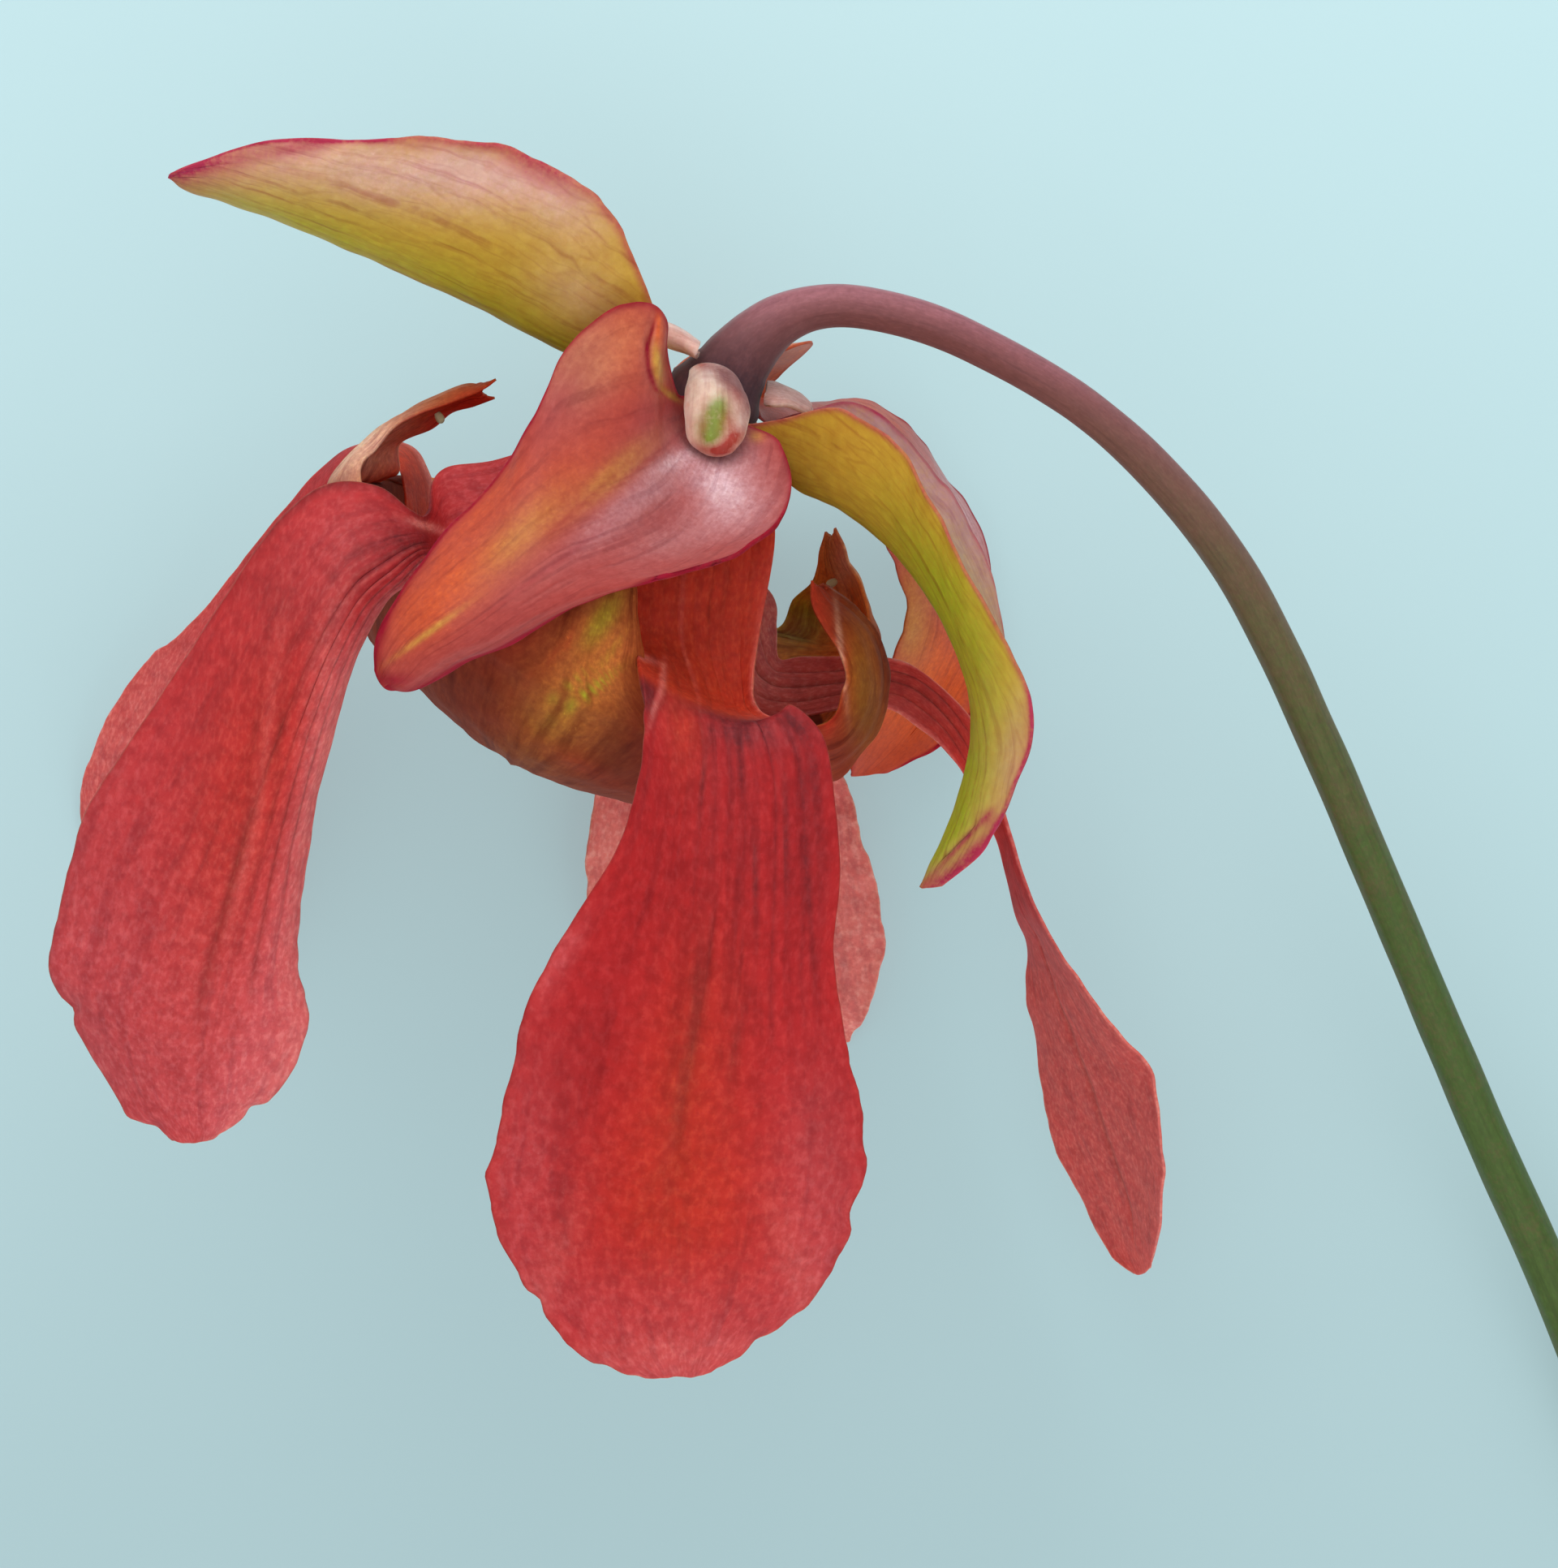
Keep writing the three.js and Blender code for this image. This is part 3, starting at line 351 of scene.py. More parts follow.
# What each blade has beyond its rows
# grooves: first and last station, v at both, breadth in v, depth in mm
# beads: first and last station, side, breadth in mm, height in mm
# pushes: drawing point, two half-sizes, turn, then the shift in mm along x, y and z
# paint: terms of paint() for each tint, and spots: drawing point, two half-sizes, turn, amount
PETAL_LOOKS = {
    "1": {
        "seed": 11, "scallop": 0.13, "ruffle": 0.3, "smooth_to": (9, 12), "notch": 5,
        "grooves": [
            (5.6, 9.5, -0.6, -0.5, 0.05, 0.06), (5.4, 9.5, -0.32, -0.22, 0.045, 0.1),
            (5.2, 8.0, 0.02, 0.02, 0.045, 0.12), (8.5, 13.2, -0.04, -0.1, 0.045, 0.26),
            (5.4, 9.5, 0.22, 0.16, 0.035, 0.1), (5.4, 11.0, 0.52, 0.44, 0.032, 0.16),
            (5.8, 11.0, 0.76, 0.7, 0.035, 0.12), (9.0, 12.0, 0.22, 0.16, 0.04, 0.14),
            (1.0, 5.0, -0.62, -0.5, 0.05, 0.08), (1.0, 5.2, -0.12, -0.08, 0.05, 0.1),
            (1.0, 5.0, 0.36, 0.4, 0.05, 0.08), (1.0, 5.0, 0.12, 0.16, 0.03, 0.06),
            (1.0, 5.0, -0.4, -0.32, 0.03, 0.06), (1.0, 5.0, 0.66, 0.7, 0.03, 0.06),
        ],
        "beads": [(4.0, 8.0, -1, 0.32, 0.35), (4.8, 8.0, 1, 0.32, 0.3)],
        "pushes": [
            (660, 1602, 14, 14, 0, 0.6, 0.2, 0), (598, 1448, 20, 26, 0, -0.3, 0, 0),
            (1050, 1486, 16, 18, 0, -0.8, 0, 0), (1068, 1440, 20, 24, 0, 0.3, 0, 0),
            (940, 1660, 14, 14, 0, -0.4, 0.4, 0), (746, 1688, 14, 14, 0, 0, 0.35, 0),
            (1000, 1625, 14, 14, 0, 0.25, -0.2, 0), (700, 1650, 12, 12, 0, -0.2, -0.15, 0),
            (814, 838, 22, 5, 95, 0, 0, 0.8), (806, 872, 20, 5, 110, 0, 0, 0.6),
        ],
        "paint": {
            "warm": [("rise", 5.4, 4.6, 0.7), ("patch", 6.0, 1.2, -0.55, 0.25, 0.4)],
            "shade": [
                # painted shade: the patches at stations 4.9 and 5.5 lie in the crease where the blade
                # bends from the claw, and the rise towards station 5 darkens the blade's upper part;
                # groove is painted shade in the furrows
                ("rise", 5.4, 4.8, 0.15), ("patch", 4.9, 0.35, 0.1, 0.9, 0.55),
                ("patch", 5.5, 0.6, 0.35, 0.35, 0.45), ("rise", 10.0, 5.0, 0.22),
                ("lines", 5.6, 10.0, 4.0, -2.0, -1.0, 0.2), ("rim", 0.2, 0.4), ("groove", 0.45),
            ],
            # the pale patch at station 4 on the right margin is a painted highlight on the rim of the
            # right ear
            "pale": [("patch", 3.0, 2.0, -0.3, 0.03, 0.12), ("patch", 4.0, 1.2, 1.0, 0.08, 0.35)],
            "pink": [("rise", 13.0, 17.0, 0.8)],
        },
        "spots": {
            "pink": [
                (640, 1450, 60, 190, 0, 0.45), (1010, 1480, 60, 150, 0, 0.5),
                (800, 1600, 150, 50, 0, 0.2), (930, 900, 50, 16, 10, 0.4), (690, 1180, 16, 60, 30, 0.5),
            ],
            "shade": [
                # painted shade: (880, 878), (850, 842) and (915, 905) in the crease at the waist, (798,
                # 845) in the fold beside the left ear and (978, 886) inside the curled right ear; the
                # others are the petal's darker zones and veins
                (1020, 1400, 30, 120, 0, 0.25), (850, 1330, 20, 120, 10, 0.2),
                (880, 878, 80, 9, 8, 0.4), (798, 845, 9, 30, 0, 1.0), (840, 800, 70, 50, 0, 0.35),
                (700, 1330, 40, 120, 20, 0.2), (850, 842, 60, 24, 20, 0.4), (856, 1240, 7, 80, 6, 0.5),
                (836, 1345, 8, 50, 10, 0.6), (808, 1450, 7, 60, 25, 0.45), (912, 1265, 4, 50, 15, 0.4),
                (912, 930, 4, 60, -4, 0.5), (930, 1080, 4, 70, -2, 0.5), (968, 1050, 4, 90, 0, 0.4),
                (868, 950, 4, 60, 8, 0.35), (880, 1060, 4, 70, 4, 0.3), (1000, 1150, 4, 90, -3, 0.4),
                (978, 886, 26, 12, 40, 0.5), (1000, 1000, 22, 160, 0, 0.35), (915, 905, 50, 14, 5, 0.3),
            ],
            "warm": [(840, 1480, 110, 130, 8, 0.45), (850, 1300, 60, 150, 8, 0.35)],
            "pale": [
                (980, 1560, 20, 90, -20, 0.12), (680, 1560, 20, 90, 25, 0.12),
                # (798, 812), (817, 836) and (807, 872) are a painted highlight along the rolled rim of
                # the left ear
                (830, 1670, 130, 24, 0, 0.12), (798, 812, 18, 4, 20, 0.35), (817, 836, 20, 4, 95, 0.35),
                (807, 872, 24, 4, 108, 0.3),
            ],
        },
    },
    "2": {
        "seed": 21, "scallop": 0.13, "ruffle": 0.3, "smooth_to": (10, 13), "notch": 5,
        "grooves": [
            (5.0, 12.0, -0.35, -0.2, 0.045, 0.07), (4.6, 14.0, -0.02, 0.1, 0.055, 0.2),
            (4.6, 12.5, 0.22, 0.32, 0.04, 0.12), (4.6, 13.5, 0.44, 0.52, 0.044, 0.16),
            (4.8, 12.0, 0.66, 0.72, 0.036, 0.1), (5.2, 10.0, -0.62, -0.5, 0.036, 0.05),
        ],
        "beads": [(3.5, 8.0, -1, 0.35, 0.4)],
        "pushes": [
            (84, 1243, 14, 14, 0, 0.7, 0.1, 0), (315, 1370, 12, 12, 0, -0.3, 0.4, 0),
            (157, 1374, 12, 12, 0, -0.2, -0.2, 0), (192, 1390, 12, 12, 0, 0.2, 0.3, 0),
        ],
        "paint": {
            "shade": [
                # painted shade: the patches at stations 4.2 and 5.4 lie under the rolled lip at the
                # waist; groove is painted shade in the furrows
                ("rim", 0.2, 0.35), ("patch", 5.4, 0.9, -0.2, 0.5, 0.5),
                ("patch", 4.2, 0.6, 0.0, 0.9, 0.35), ("groove", 0.5),
                ("lines", 5.0, 7.0, 7.0, -0.9, 0.3, 0.32), ("lines", 7.0, 12.0, 5.0, -0.2, 0.8, 0.3),
                ("patch", 6.4, 1.3, -0.2, 0.7, 0.26), ("edge", -1, 0.7, 4.0, 8.0, 0.5),
            ],
            "pink": [
                # the step across v towards the right margin, here and in pale, is partly the margin's
                # own pinker colour and partly a painted highlight of light grazing it
                ("rise", 8.0, 15.0, 0.7), ("across", 0.2, 1.0, 0.8),
                ("patch", 7.0, 2.0, -0.6, 0.5, 0.4), ("rise", 4.0, 2.5, 0.45),
            ],
            "pale": [("across", 0.5, 1.0, 0.2), ("lines", 5.0, 8.0, -6.0, -0.6, 0.3, 0.1)],
        },
        "spots": {
            "warm": [(300, 1000, 80, 260, 12, 0.3)],
            "pale": [
                # (332, 880) and (300, 1070) are painted highlights on the crests of the long ridges;
                # (398, 860), here and in pink, is the pinker band along the right margin, partly a
                # painted highlight of light grazing it
                (332, 880, 8, 120, 8, 0.12), (300, 1070, 8, 90, 14, 0.12), (398, 860, 22, 150, 8, 0.14),
                (525, 648, 24, 5, 18, 0.6),
            ],
            "pink": [(398, 860, 26, 150, 8, 0.4)],
            "shade": [
                # (318, 880), (346, 900) and (288, 1090) are the dark lines beside the long ridges,
                # partly painted shade
                (318, 880, 5, 120, 8, 0.35), (346, 900, 5, 110, 6, 0.35), (288, 1090, 6, 90, 14, 0.3),
                (240, 1000, 6, 120, 14, 0.15), (330, 720, 40, 60, -45, 0.2),
            ],
        },
    },
    "3": {
        "seed": 31, "scallop": 0.15, "ruffle": 0.3, "smooth_to": (9, 12),
        "grooves": [(9, 14, 0.0, 0.0, 0.04, 0.15), (9, 13, 0.4, 0.4, 0.03, 0.1)],
        "beads": [(5.0, 7.5, -1, 0.35, 0.3)],
        "paint": {
            "pink": [("rim", 0.3, 0.3), ("rise", 8.0, 13.0, 0.5)],
            "warm": [("rise", 8.5, 7.5, 0.8), ("patch", 5.8, 1.0, 0.3, 0.9, 0.9)],
            # the pale patch at station 6 on the outer margin, with the pale spot (540, 615), is a
            # painted highlight on the lit margin of the claw
            "pale": [("patch", 6.0, 1.2, -0.95, 0.3, 0.8), ("rise", 9.0, 13.0, 0.3)],
        },
        "spots": {
            "pink": [(560, 620, 60, 40, 0, 0.8)],
            "pale": [(540, 615, 30, 10, 20, 0.2)],
        },
    },
    "4": {
        "seed": 41, "scallop": 0.15, "ruffle": 0.3, "smooth_to": (4, 7),
        "grooves": [(4, 10, 0.0, 0.0, 0.04, 0.2), (4, 9, 0.45, 0.5, 0.03, 0.15)],
        "paint": {
            # the pale from station 4 on is partly the petal's own paler colour and partly painted light
            # shining through it from behind
            "pale": [("rise", 4.0, 6.0, 0.75)],
            "pink": [("rim", 2.0, 1.0), ("rise", 4.0, 6.0, 0.6), ("side", -1, 0.3)],
            "warm": [("rise", 4.0, 2.0, 0.6)],
        },
    },
    "5": {
        "seed": 51, "scallop": 0.12, "ruffle": 0.25, "smooth_to": (11, 14),
        "grooves": [
            (2, 9, -0.45, -0.45, 0.07, 0.12), (2, 9, 0.05, 0.05, 0.09, 0.2),
            (2, 9, 0.5, 0.5, 0.07, 0.12), (12, 18, 0.0, 0.0, 0.05, 0.14),
        ],
        "paint": {
            "warm": [("rise", 12.0, 9.0, 0.3), ("rise", 12.0, 14.0, 0.35)],
            "pink": [("rim", 0.6, 0.35), ("rise", 11.0, 15.0, 0.5), ("patch", 4.0, 2.4, 0.0, 1.4, 0.7)],
            "shade": [("groove", 0.9)],
            "pale": [
                ("rim", 0.3, 0.25), ("patch", 5.0, 2.6, 0.0, 1.4, 0.22), ("rise", 11.0, 14.0, 0.15),
            ],
        },
        "spots": {
            "pale": [(950, 750, 20, 60, 0, 0.4)],
        },
    },
}
SEPAL_LOOKS = {
    "a": {
        "seed": 61, "scallop": 0.12, "ruffle": 0.3, "smooth_to": (1, 3),
        "grooves": [
            (1, 8, -0.25, -0.2, 0.02, 0.05), (1, 8, -0.5, -0.45, 0.02, 0.05),
            (1, 8, -0.75, -0.7, 0.02, 0.05),
        ],
        "paint": {
            "rim": [("rim", 0.7, 0.7), ("rise", 5.6, 8.2, 0.7)],
            "blush": [("rise", 5.0, 7.5, 0.4)],
            "lime": [("band", -0.12, 0.3, 0.5)],
            "grey": [("across", 0.1, 0.5, 0.4)],
        },
        "spots": {
            "blush": [
                (500, 215, 190, 40, 8, 0.85), (700, 250, 70, 40, 40, 0.4), (600, 205, 90, 24, 16, 0.5),
                (710, 360, 60, 40, 30, 0.3),
            ],
            "rim": [
                (660, 215, 60, 14, 28, 0.6), (380, 180, 60, 10, -10, 0.5), (250, 205, 60, 12, -10, 0.4),
                (500, 178, 70, 8, 5, 0.35),
            ],
        },
    },
    "b": {
        "seed": 71, "scallop": 0.12, "ruffle": 0.2, "smooth_to": (4, 6),
        "grooves": [
            (3, 9, 0.0, 0.0, 0.03, 0.08), (4, 9, 0.3, 0.3, 0.03, 0.06), (4, 9, -0.3, -0.3, 0.03, 0.06),
        ],
        "beads": [(0.2, 4.6, -1, 0.3, 0.25), (1.0, 12.0, 1, 0.3, 0.2)],
        "pushes": [
            (801, 412, 22, 5, 105, 0, 0, -0.5), (798, 440, 20, 5, 85, 0, 0, -0.5),
            (803, 466, 16, 5, 70, 0, 0, -0.5), (815, 484, 14, 5, 42, 0, 0, -0.5),
            (832, 493, 14, 5, 10, 0, 0, -0.4), (813, 430, 44, 7, 92, 0, 0, 0.5),
        ],
        "paint": {
            "rim": [
                ("rim", 0.5, 0.8), ("edge", 1, 2.8, 7.5, 12.5, 1.3), ("edge", 1, 0.8, 5.0, 8.0, 0.7),
                ("edge", -1, 1.1, 8.0, 12.5, 0.6),
            ],
        },
        "spots": {
            # the second tint's spots here are a painted highlight: the gloss on the sepal's face and
            # its softer streaks
            "painted_sheen_and_web": [
                (880, 592, 46, 22, 42, 0.36), (836, 566, 36, 9, -25, 0.4), (890, 590, 70, 50, 30, 0.15),
                (900, 575, 26, 50, 15, 0.22), (900, 610, 60, 44, 30, 0.18),
                (780, 620, 90, 20, -38, 0.3), (850, 655, 90, 26, -20, 0.15),
                (735, 450, 70, 40, -40, 0.12),
            ],
            "orange": [
                (690, 595, 110, 36, -48, 0.35), (545, 735, 90, 34, -42, 0.75),
                (770, 430, 40, 60, 0, 0.6), (812, 402, 6, 24, 0, 0.9), (935, 536, 12, 9, 0, 0.6),
                (590, 625, 100, 24, -50, 0.45),
            ],
            "olive": [
                (735, 440, 60, 40, -40, 0.3), (530, 778, 48, 4, -36, 0.8), (758, 583, 60, 15, -42, 0.5),
                (645, 655, 70, 22, -45, 0.45), (810, 450, 24, 6, 82, 1.3), (824, 486, 14, 4, 30, 1.2),
                (932, 538, 8, 6, 0, 0.6),
            ],
            "rim": [
                (730, 610, 110, 3, -42, 0.4), (690, 690, 110, 4, -36, 0.3),
                (790, 575, 70, 3, -40, 0.35), (810, 510, 40, 24, -30, 0.3),
                # (802, 412), (798, 440), (803, 466) and (815, 484) are painted shade in the crease
                # where the upper-left margin folds back
                (770, 480, 60, 30, -60, 0.2), (700, 480, 16, 110, 35, 0.3), (802, 412, 22, 3, 105, 0.8),
                (798, 440, 20, 3, 85, 0.8), (803, 466, 16, 3, 70, 0.8), (815, 484, 14, 3, 42, 0.7),
                (482, 838, 26, 8, 0, 0.7), (468, 790, 8, 50, 15, 0.6),
            ],
        },
    },
    "c": {
        "seed": 81, "scallop": 0.12, "ruffle": 0.3, "smooth_to": (1, 3),
        "grooves": [(1, 9, -0.3, -0.3, 0.03, 0.05), (1, 9, -0.6, -0.6, 0.03, 0.05)],
        "beads": [(7.0, 10.0, -1, 0.4, 0.3)],
        "pushes": [(1182, 1042, 46, 3, -47, 0, 0, -0.35), (1196, 1056, 46, 8, -47, 0, 0, 0.4)],
        "paint": {
            "blush": [("rise", 5.5, 8.0, 0.2), ("rise", 8.0, 10.0, 0.2)],
            "rim": [("rim", 0.5, 0.7), ("rise", 9.6, 10.2, 0.4)],
            "grey": [("across", 0.05, 0.35, 0.95)],
            "lime": [("band", 0.0, 0.3, 0.4)],
        },
        "spots": {
            "rim": [
                (1085, 508, 60, 9, 22, 0.4), (1192, 1058, 50, 11, -46, 0.9),
                # (1184, 1040) is painted shade in the crease behind the curled rim
                (1184, 1040, 46, 4, -47, 0.9), (1218, 1008, 14, 12, 0, 0.5),
                (1148, 1086, 26, 10, -25, 0.6), (1262, 950, 9, 80, 14, 0.4), (1272, 880, 8, 60, 0, 0.4),
            ],
            "lime": [
                (1165, 740, 40, 130, -30, 0.8), (1170, 1030, 24, 60, 22, 0.7),
                (1195, 930, 34, 90, 0, 0.6),
            ],
            "blush": [(1250, 930, 20, 90, 8, 0.15)],
            "grey": [(1250, 930, 16, 80, 8, 0.2)],
        },
    },
    "d": {
        "seed": 91, "scallop": 0.12, "ruffle": 0.3, "smooth_to": (1, 3),
        "grooves": [(1, 7, 0.0, 0.0, 0.03, 0.1)],
        "paint": {
            "rim": [("rim", 0.5, 0.3), ("edge", 1, 0.9, 3.0, 7.5, 0.9)],
            "orange": [("side", 1, 0.2)],
        },
        "spots": {
            "painted_sheen_and_web": [(1180, 650, 40, 90, -20, 0.5)],
            "orange": [
                (1110, 900, 110, 70, 0, 0.9), (1160, 830, 30, 60, 0, 0.8),
                (1080, 510, 40, 16, 15, 0.35),
            ],
            "olive": [(1120, 760, 26, 60, 0, 0.6)],
            # (1090, 930) is painted shade over the sepal's low part
            "rim": [(1110, 505, 50, 10, 35, 0.5), (1090, 930, 90, 40, 0, 0.3)],
        },
    },
    "e": {
        "seed": 95, "scallop": 0.2, "ruffle": 0.2, "smooth_to": (1, 3),
        "grooves": [(1, 7, 0.0, 0.0, 0.03, 0.1)],
        "paint": {
            "rim": [("rim", 0.4, 0.4)],
            "orange": [("side", 1, 1.3), ("side", -1, 1.3)],
            "olive": [("side", 1, 0.2), ("side", -1, 0.2)],
        },
    },
}
BRACT_LOOKS = {
    "front": {
        "seed": 101, "scallop": 0.05, "ruffle": 0.1, "smooth_to": (0, 1),
        "paint": {
            "cream": [("rim", 0.35, 0.6)],
        },
        "spots": {
            "green": [
                (881, 517, 12, 28, 15, 1.2), (880, 520, 22, 30, 15, 0.6), (866, 528, 12, 16, 0, 0.3),
            ],
            "red": [
                (866, 524, 7, 22, 10, 0.45), (902, 526, 8, 18, 0, 0.5), (902, 478, 24, 10, 36, 0.25),
                (900, 545, 26, 9, -40, 1.0), (880, 555, 26, 6, 5, 0.7), (912, 484, 12, 24, -30, 0.7),
                (866, 449, 12, 7, 15, 1.0), (893, 518, 8, 22, 15, 0.35),
            ],
            "grey": [(905, 466, 40, 14, 36, 1.2), (922, 500, 8, 26, 0, 0.8)],
            # the cream spots (872, 478) and (855, 490) are a painted highlight on the bract's face
            "cream": [(872, 478, 20, 20, 0, 0.5), (855, 490, 8, 36, 0, 0.6)],
        },
    },
    "left": {
        "seed": 102, "scallop": 0.05, "ruffle": 0.1, "smooth_to": (0, 1),
        "paint": {
            "cream": [("rim", 0.3, 0.4)],
            "red": [("band", -0.2, 0.2, 0.25)],
            "grey": [("across", -0.6, -1.0, 0.4)],
        },
    },
    "right": {
        "seed": 103, "scallop": 0.05, "ruffle": 0.1, "smooth_to": (0, 1),
        "paint": {
            "grey": [("side", 1, 0.5), ("side", -1, 0.5)],
            "cream": [("rim", 0.5, 0.3)],
        },
    },
}
# pushes of the umbrella, as those of the blades
UMBRELLA_PUSHES = (
    (1035, 945, 34, 40, 0, 0, -1.3, 0),
    (640, 925, 90, 40, 28, 0, -0.25, 0),
    (462, 800, 25, 30, 0, -0.7, 0, 0),
)
# lobe (or None for all), tint, form, sizes, amount
UMBRELLA_PAINT = (
    (None, "red", "rim", 0.25, 0.1),
    (None, "amber", "spot", 730, 835, 105, 60, -50, 0.72),
    (None, "green", "spot", 742, 765, 34, 13, -58, 0.7),
    (None, "green", "spot", 725, 853, 42, 4, -38, 0.9),
    (None, "green", "spot", 700, 846, 36, 3, -40, 0.5),
    (None, "green", "spot", 752, 805, 30, 4, -55, 0.3),
    (None, "green", "spot", 690, 880, 60, 30, -45, 0.15),
    (None, "red", "spot", 695, 795, 80, 7, -45, 0.2),
    (None, "red", "spot", 640, 790, 60, 24, -35, 0.15),
    (None, "red", "spot", 785, 880, 14, 80, 0, 0.14),
    (None, "red", "spot", 700, 935, 90, 12, 28, 0.2),
    # the inner faces: their own orange-brown, made brighter as painted light shining through the thin
    # wall
    (0, "amber", "side", -1, 0.8),
    (2, "amber", "side", -1, 0.8),
    (3, "amber", "side", -1, 0.3),
    (4, "amber", "side", -1, 0.8),
    (1, "amber", "side", -1, 0.35),
    (1, "red", "side", -1, 0.8),
    # (470, 575) and (515, 625) brighten the shaded inside of lobe 1 and the hollow below it with
    # painted light
    (1, "amber", "spot", 470, 575, 30, 40, 20, 0.7),
    (1, "amber", "spot", 515, 625, 40, 60, 0, 0.9),
    (1, "amber", "spot", 540, 490, 70, 18, -20, 0.25),
    (1, "red", "spot", 580, 490, 24, 12, -10, 0.4),
    (1, "fuzz", "spot", 450, 550, 60, 42, -35, 0.9),
    (1, "fuzz", "spot", 520, 485, 70, 7, -22, 0.75),
    (3, "red", "rim", 0.4, 0.1),
    (3, "red", "side", 1, 0.08),
    (3, "green", "spot", 1062, 845, 22, 80, -6, 0.18),
    (3, "amber", "spot", 1074, 820, 10, 70, -10, 0.2),
    (3, "red", "spot", 1010, 735, 12, 30, -20, 0.25),
    (3, "red", "spot", 1030, 860, 5, 60, 14, 0.35),
    (3, "fuzz", "spot", 1036, 800, 3, 60, -6, 0.5),
    # lobe 4's spots are partly its own tan and olive and partly painted light that brightens its shaded
    # inside
    (4, "amber", "spot", 1030, 730, 40, 70, 0, 1.0),
    (4, "fuzz", "spot", 1040, 690, 14, 40, 0, 0.5),
    (4, "green", "spot", 980, 765, 40, 40, 0, 1.2),
    (4, "fuzz", "spot", 975, 785, 40, 30, 0, 0.3),
)


# Numbers

def at(drawn):
    """Drawing points in metres: the offset from the drawing's middle times a square, which shrinks
    with height as (EYE - (height - LEVEL)) / EYE."""
    drawn = np.asarray(drawn, float)
    square = SQUARE * (EYE - (drawn[..., 2] - LEVEL)) / EYE
    x = (MIDDLE[0] - ORIGIN[0]) * SQUARE + (drawn[..., 0] - MIDDLE[0]) * square
    y = (ORIGIN[1] - MIDDLE[1]) * SQUARE + (MIDDLE[1] - drawn[..., 1]) * square
    return np.stack([x, y, drawn[..., 2] * MM], -1)


def on_drawing(points):
    """The inverse of at(): squares across and down the drawing for points in metres."""
    square = SQUARE * (EYE - (points[..., 2] / MM - LEVEL)) / EYE
    across = MIDDLE[0] + (points[..., 0] - (MIDDLE[0] - ORIGIN[0]) * SQUARE) / square
    down = MIDDLE[1] - (points[..., 1] - (ORIGIN[1] - MIDDLE[1]) * SQUARE) / square
    return across, down


HEART_POINT = at(HEART)
AXIS = np.array([-np.sin(LEAN) * np.cos(TILT), -np.cos(LEAN) * np.cos(TILT), -np.sin(TILT)])
RIGHT = np.array([np.cos(LEAN), -np.sin(LEAN), 0])
FRONT = np.cross(AXIS, RIGHT)


def around(angle, radius, depth):
    """Points at an angle in degrees round the flower axis, at a radius and a depth in mm:
    heart + depth * AXIS + radius * (sin * RIGHT + cos * FRONT)."""
    angle = np.radians(np.asarray(angle, float))[..., None]
    radius = np.asarray(radius, float)[..., None] * MM
    depth = np.asarray(depth, float)[..., None] * MM
    return HEART_POINT + depth * AXIS + radius * (np.sin(angle) * RIGHT + np.cos(angle) * FRONT)


def along(rows, t):
    """Catmull-Rom curve through equally spaced rows, t from 0 to 1: the end rows are mirrored
    outwards, and each span is the cubic through its two rows with central slopes."""
    rows = np.asarray(rows, float)
    spans = len(rows) - 1
    rows = np.concatenate([[2 * rows[0] - rows[1]], rows, [2 * rows[-1] - rows[-2]]])
    x = np.clip(t, 0, 1) * spans
    i = np.minimum(x.astype(int), spans - 1)
    f = (x - i)[:, None]
    a, b, c, d = rows[i], rows[i + 1], rows[i + 2], rows[i + 3]
    return b + 0.5 * f * ((c - a) + f * ((2 * a - 5 * b + 4 * c - d) + f * (3 * b - 3 * c + d - a)))


def soft(x, low, high):
    """Smooth step from 0 at low to 1 at high: 3 t^2 - 2 t^3 of the clipped fraction t."""
    t = np.clip((x - low) / (high - low), 0, 1)
    return t * t * (3 - 2 * t)


def wobble(x, seed, octaves=4):
    """Uneven wave of x, about -1 to 1: sines of frequency 1.7^k with random phases, the k-th
    divided by 1.8^k."""
    phases = np.random.default_rng(seed).random(octaves)
    waves = [np.sin(2 * np.pi * (x * 1.7**k + p)) / 1.8**k for k, p in enumerate(phases)]
    return sum(waves) / 1.6


def lumps(points, size, seed, waves=14):
    """Soft lumps about a given size in metres, about -1 to 1: the sum of plane waves in random
    directions over the square root of their number."""
    draw = np.random.default_rng(seed)
    ways = draw.normal(size=(waves, 3))
    ways /= np.linalg.norm(ways, axis=1)[:, None] * size * draw.uniform(0.7, 1.6, waves)[:, None]
    phases = draw.random(waves)
    return np.sin(2 * np.pi * (points @ ways.T + phases)).sum(-1) / waves**0.5


def unit(vectors):
    """Vectors turned into vectors of length 1."""
    return vectors / np.maximum(np.linalg.norm(vectors, axis=-1, keepdims=True), 1e-20)


def row_weights(v):
    """Weights of a row's left edge, midrib and right edge at v from -1 to 1: the quadratic through
    the three, v (v - 1) / 2, 1 - v^2 and v (v + 1) / 2."""
    return np.stack([v * (v - 1) / 2, 1 - v * v, v * (v + 1) / 2], -1)


def grid_quads(rows, columns, wrap=False):
    """Quads between neighbours of a grid of points that is numbered row by row."""
    i = np.arange(rows - 1)[:, None] * columns
    j = np.arange(columns if wrap else columns - 1)[None, :]
    k = (j + 1) % columns
    return np.stack([i + j, i + columns + j, i + columns + k, i + k], -1).reshape(-1, 4)


def end_fans(rings, sides):
    """Triangles that close both ends of a wrapped grid, whose two poles are numbered last."""
    j = np.arange(sides)
    k = (j + 1) % sides
    count = rings * sides
    first = np.stack([np.full(sides, count), j, k], -1)
    last = np.stack([np.full(sides, count + 1), count - sides + k, count - sides + j], -1)
    return np.concatenate([first, last])


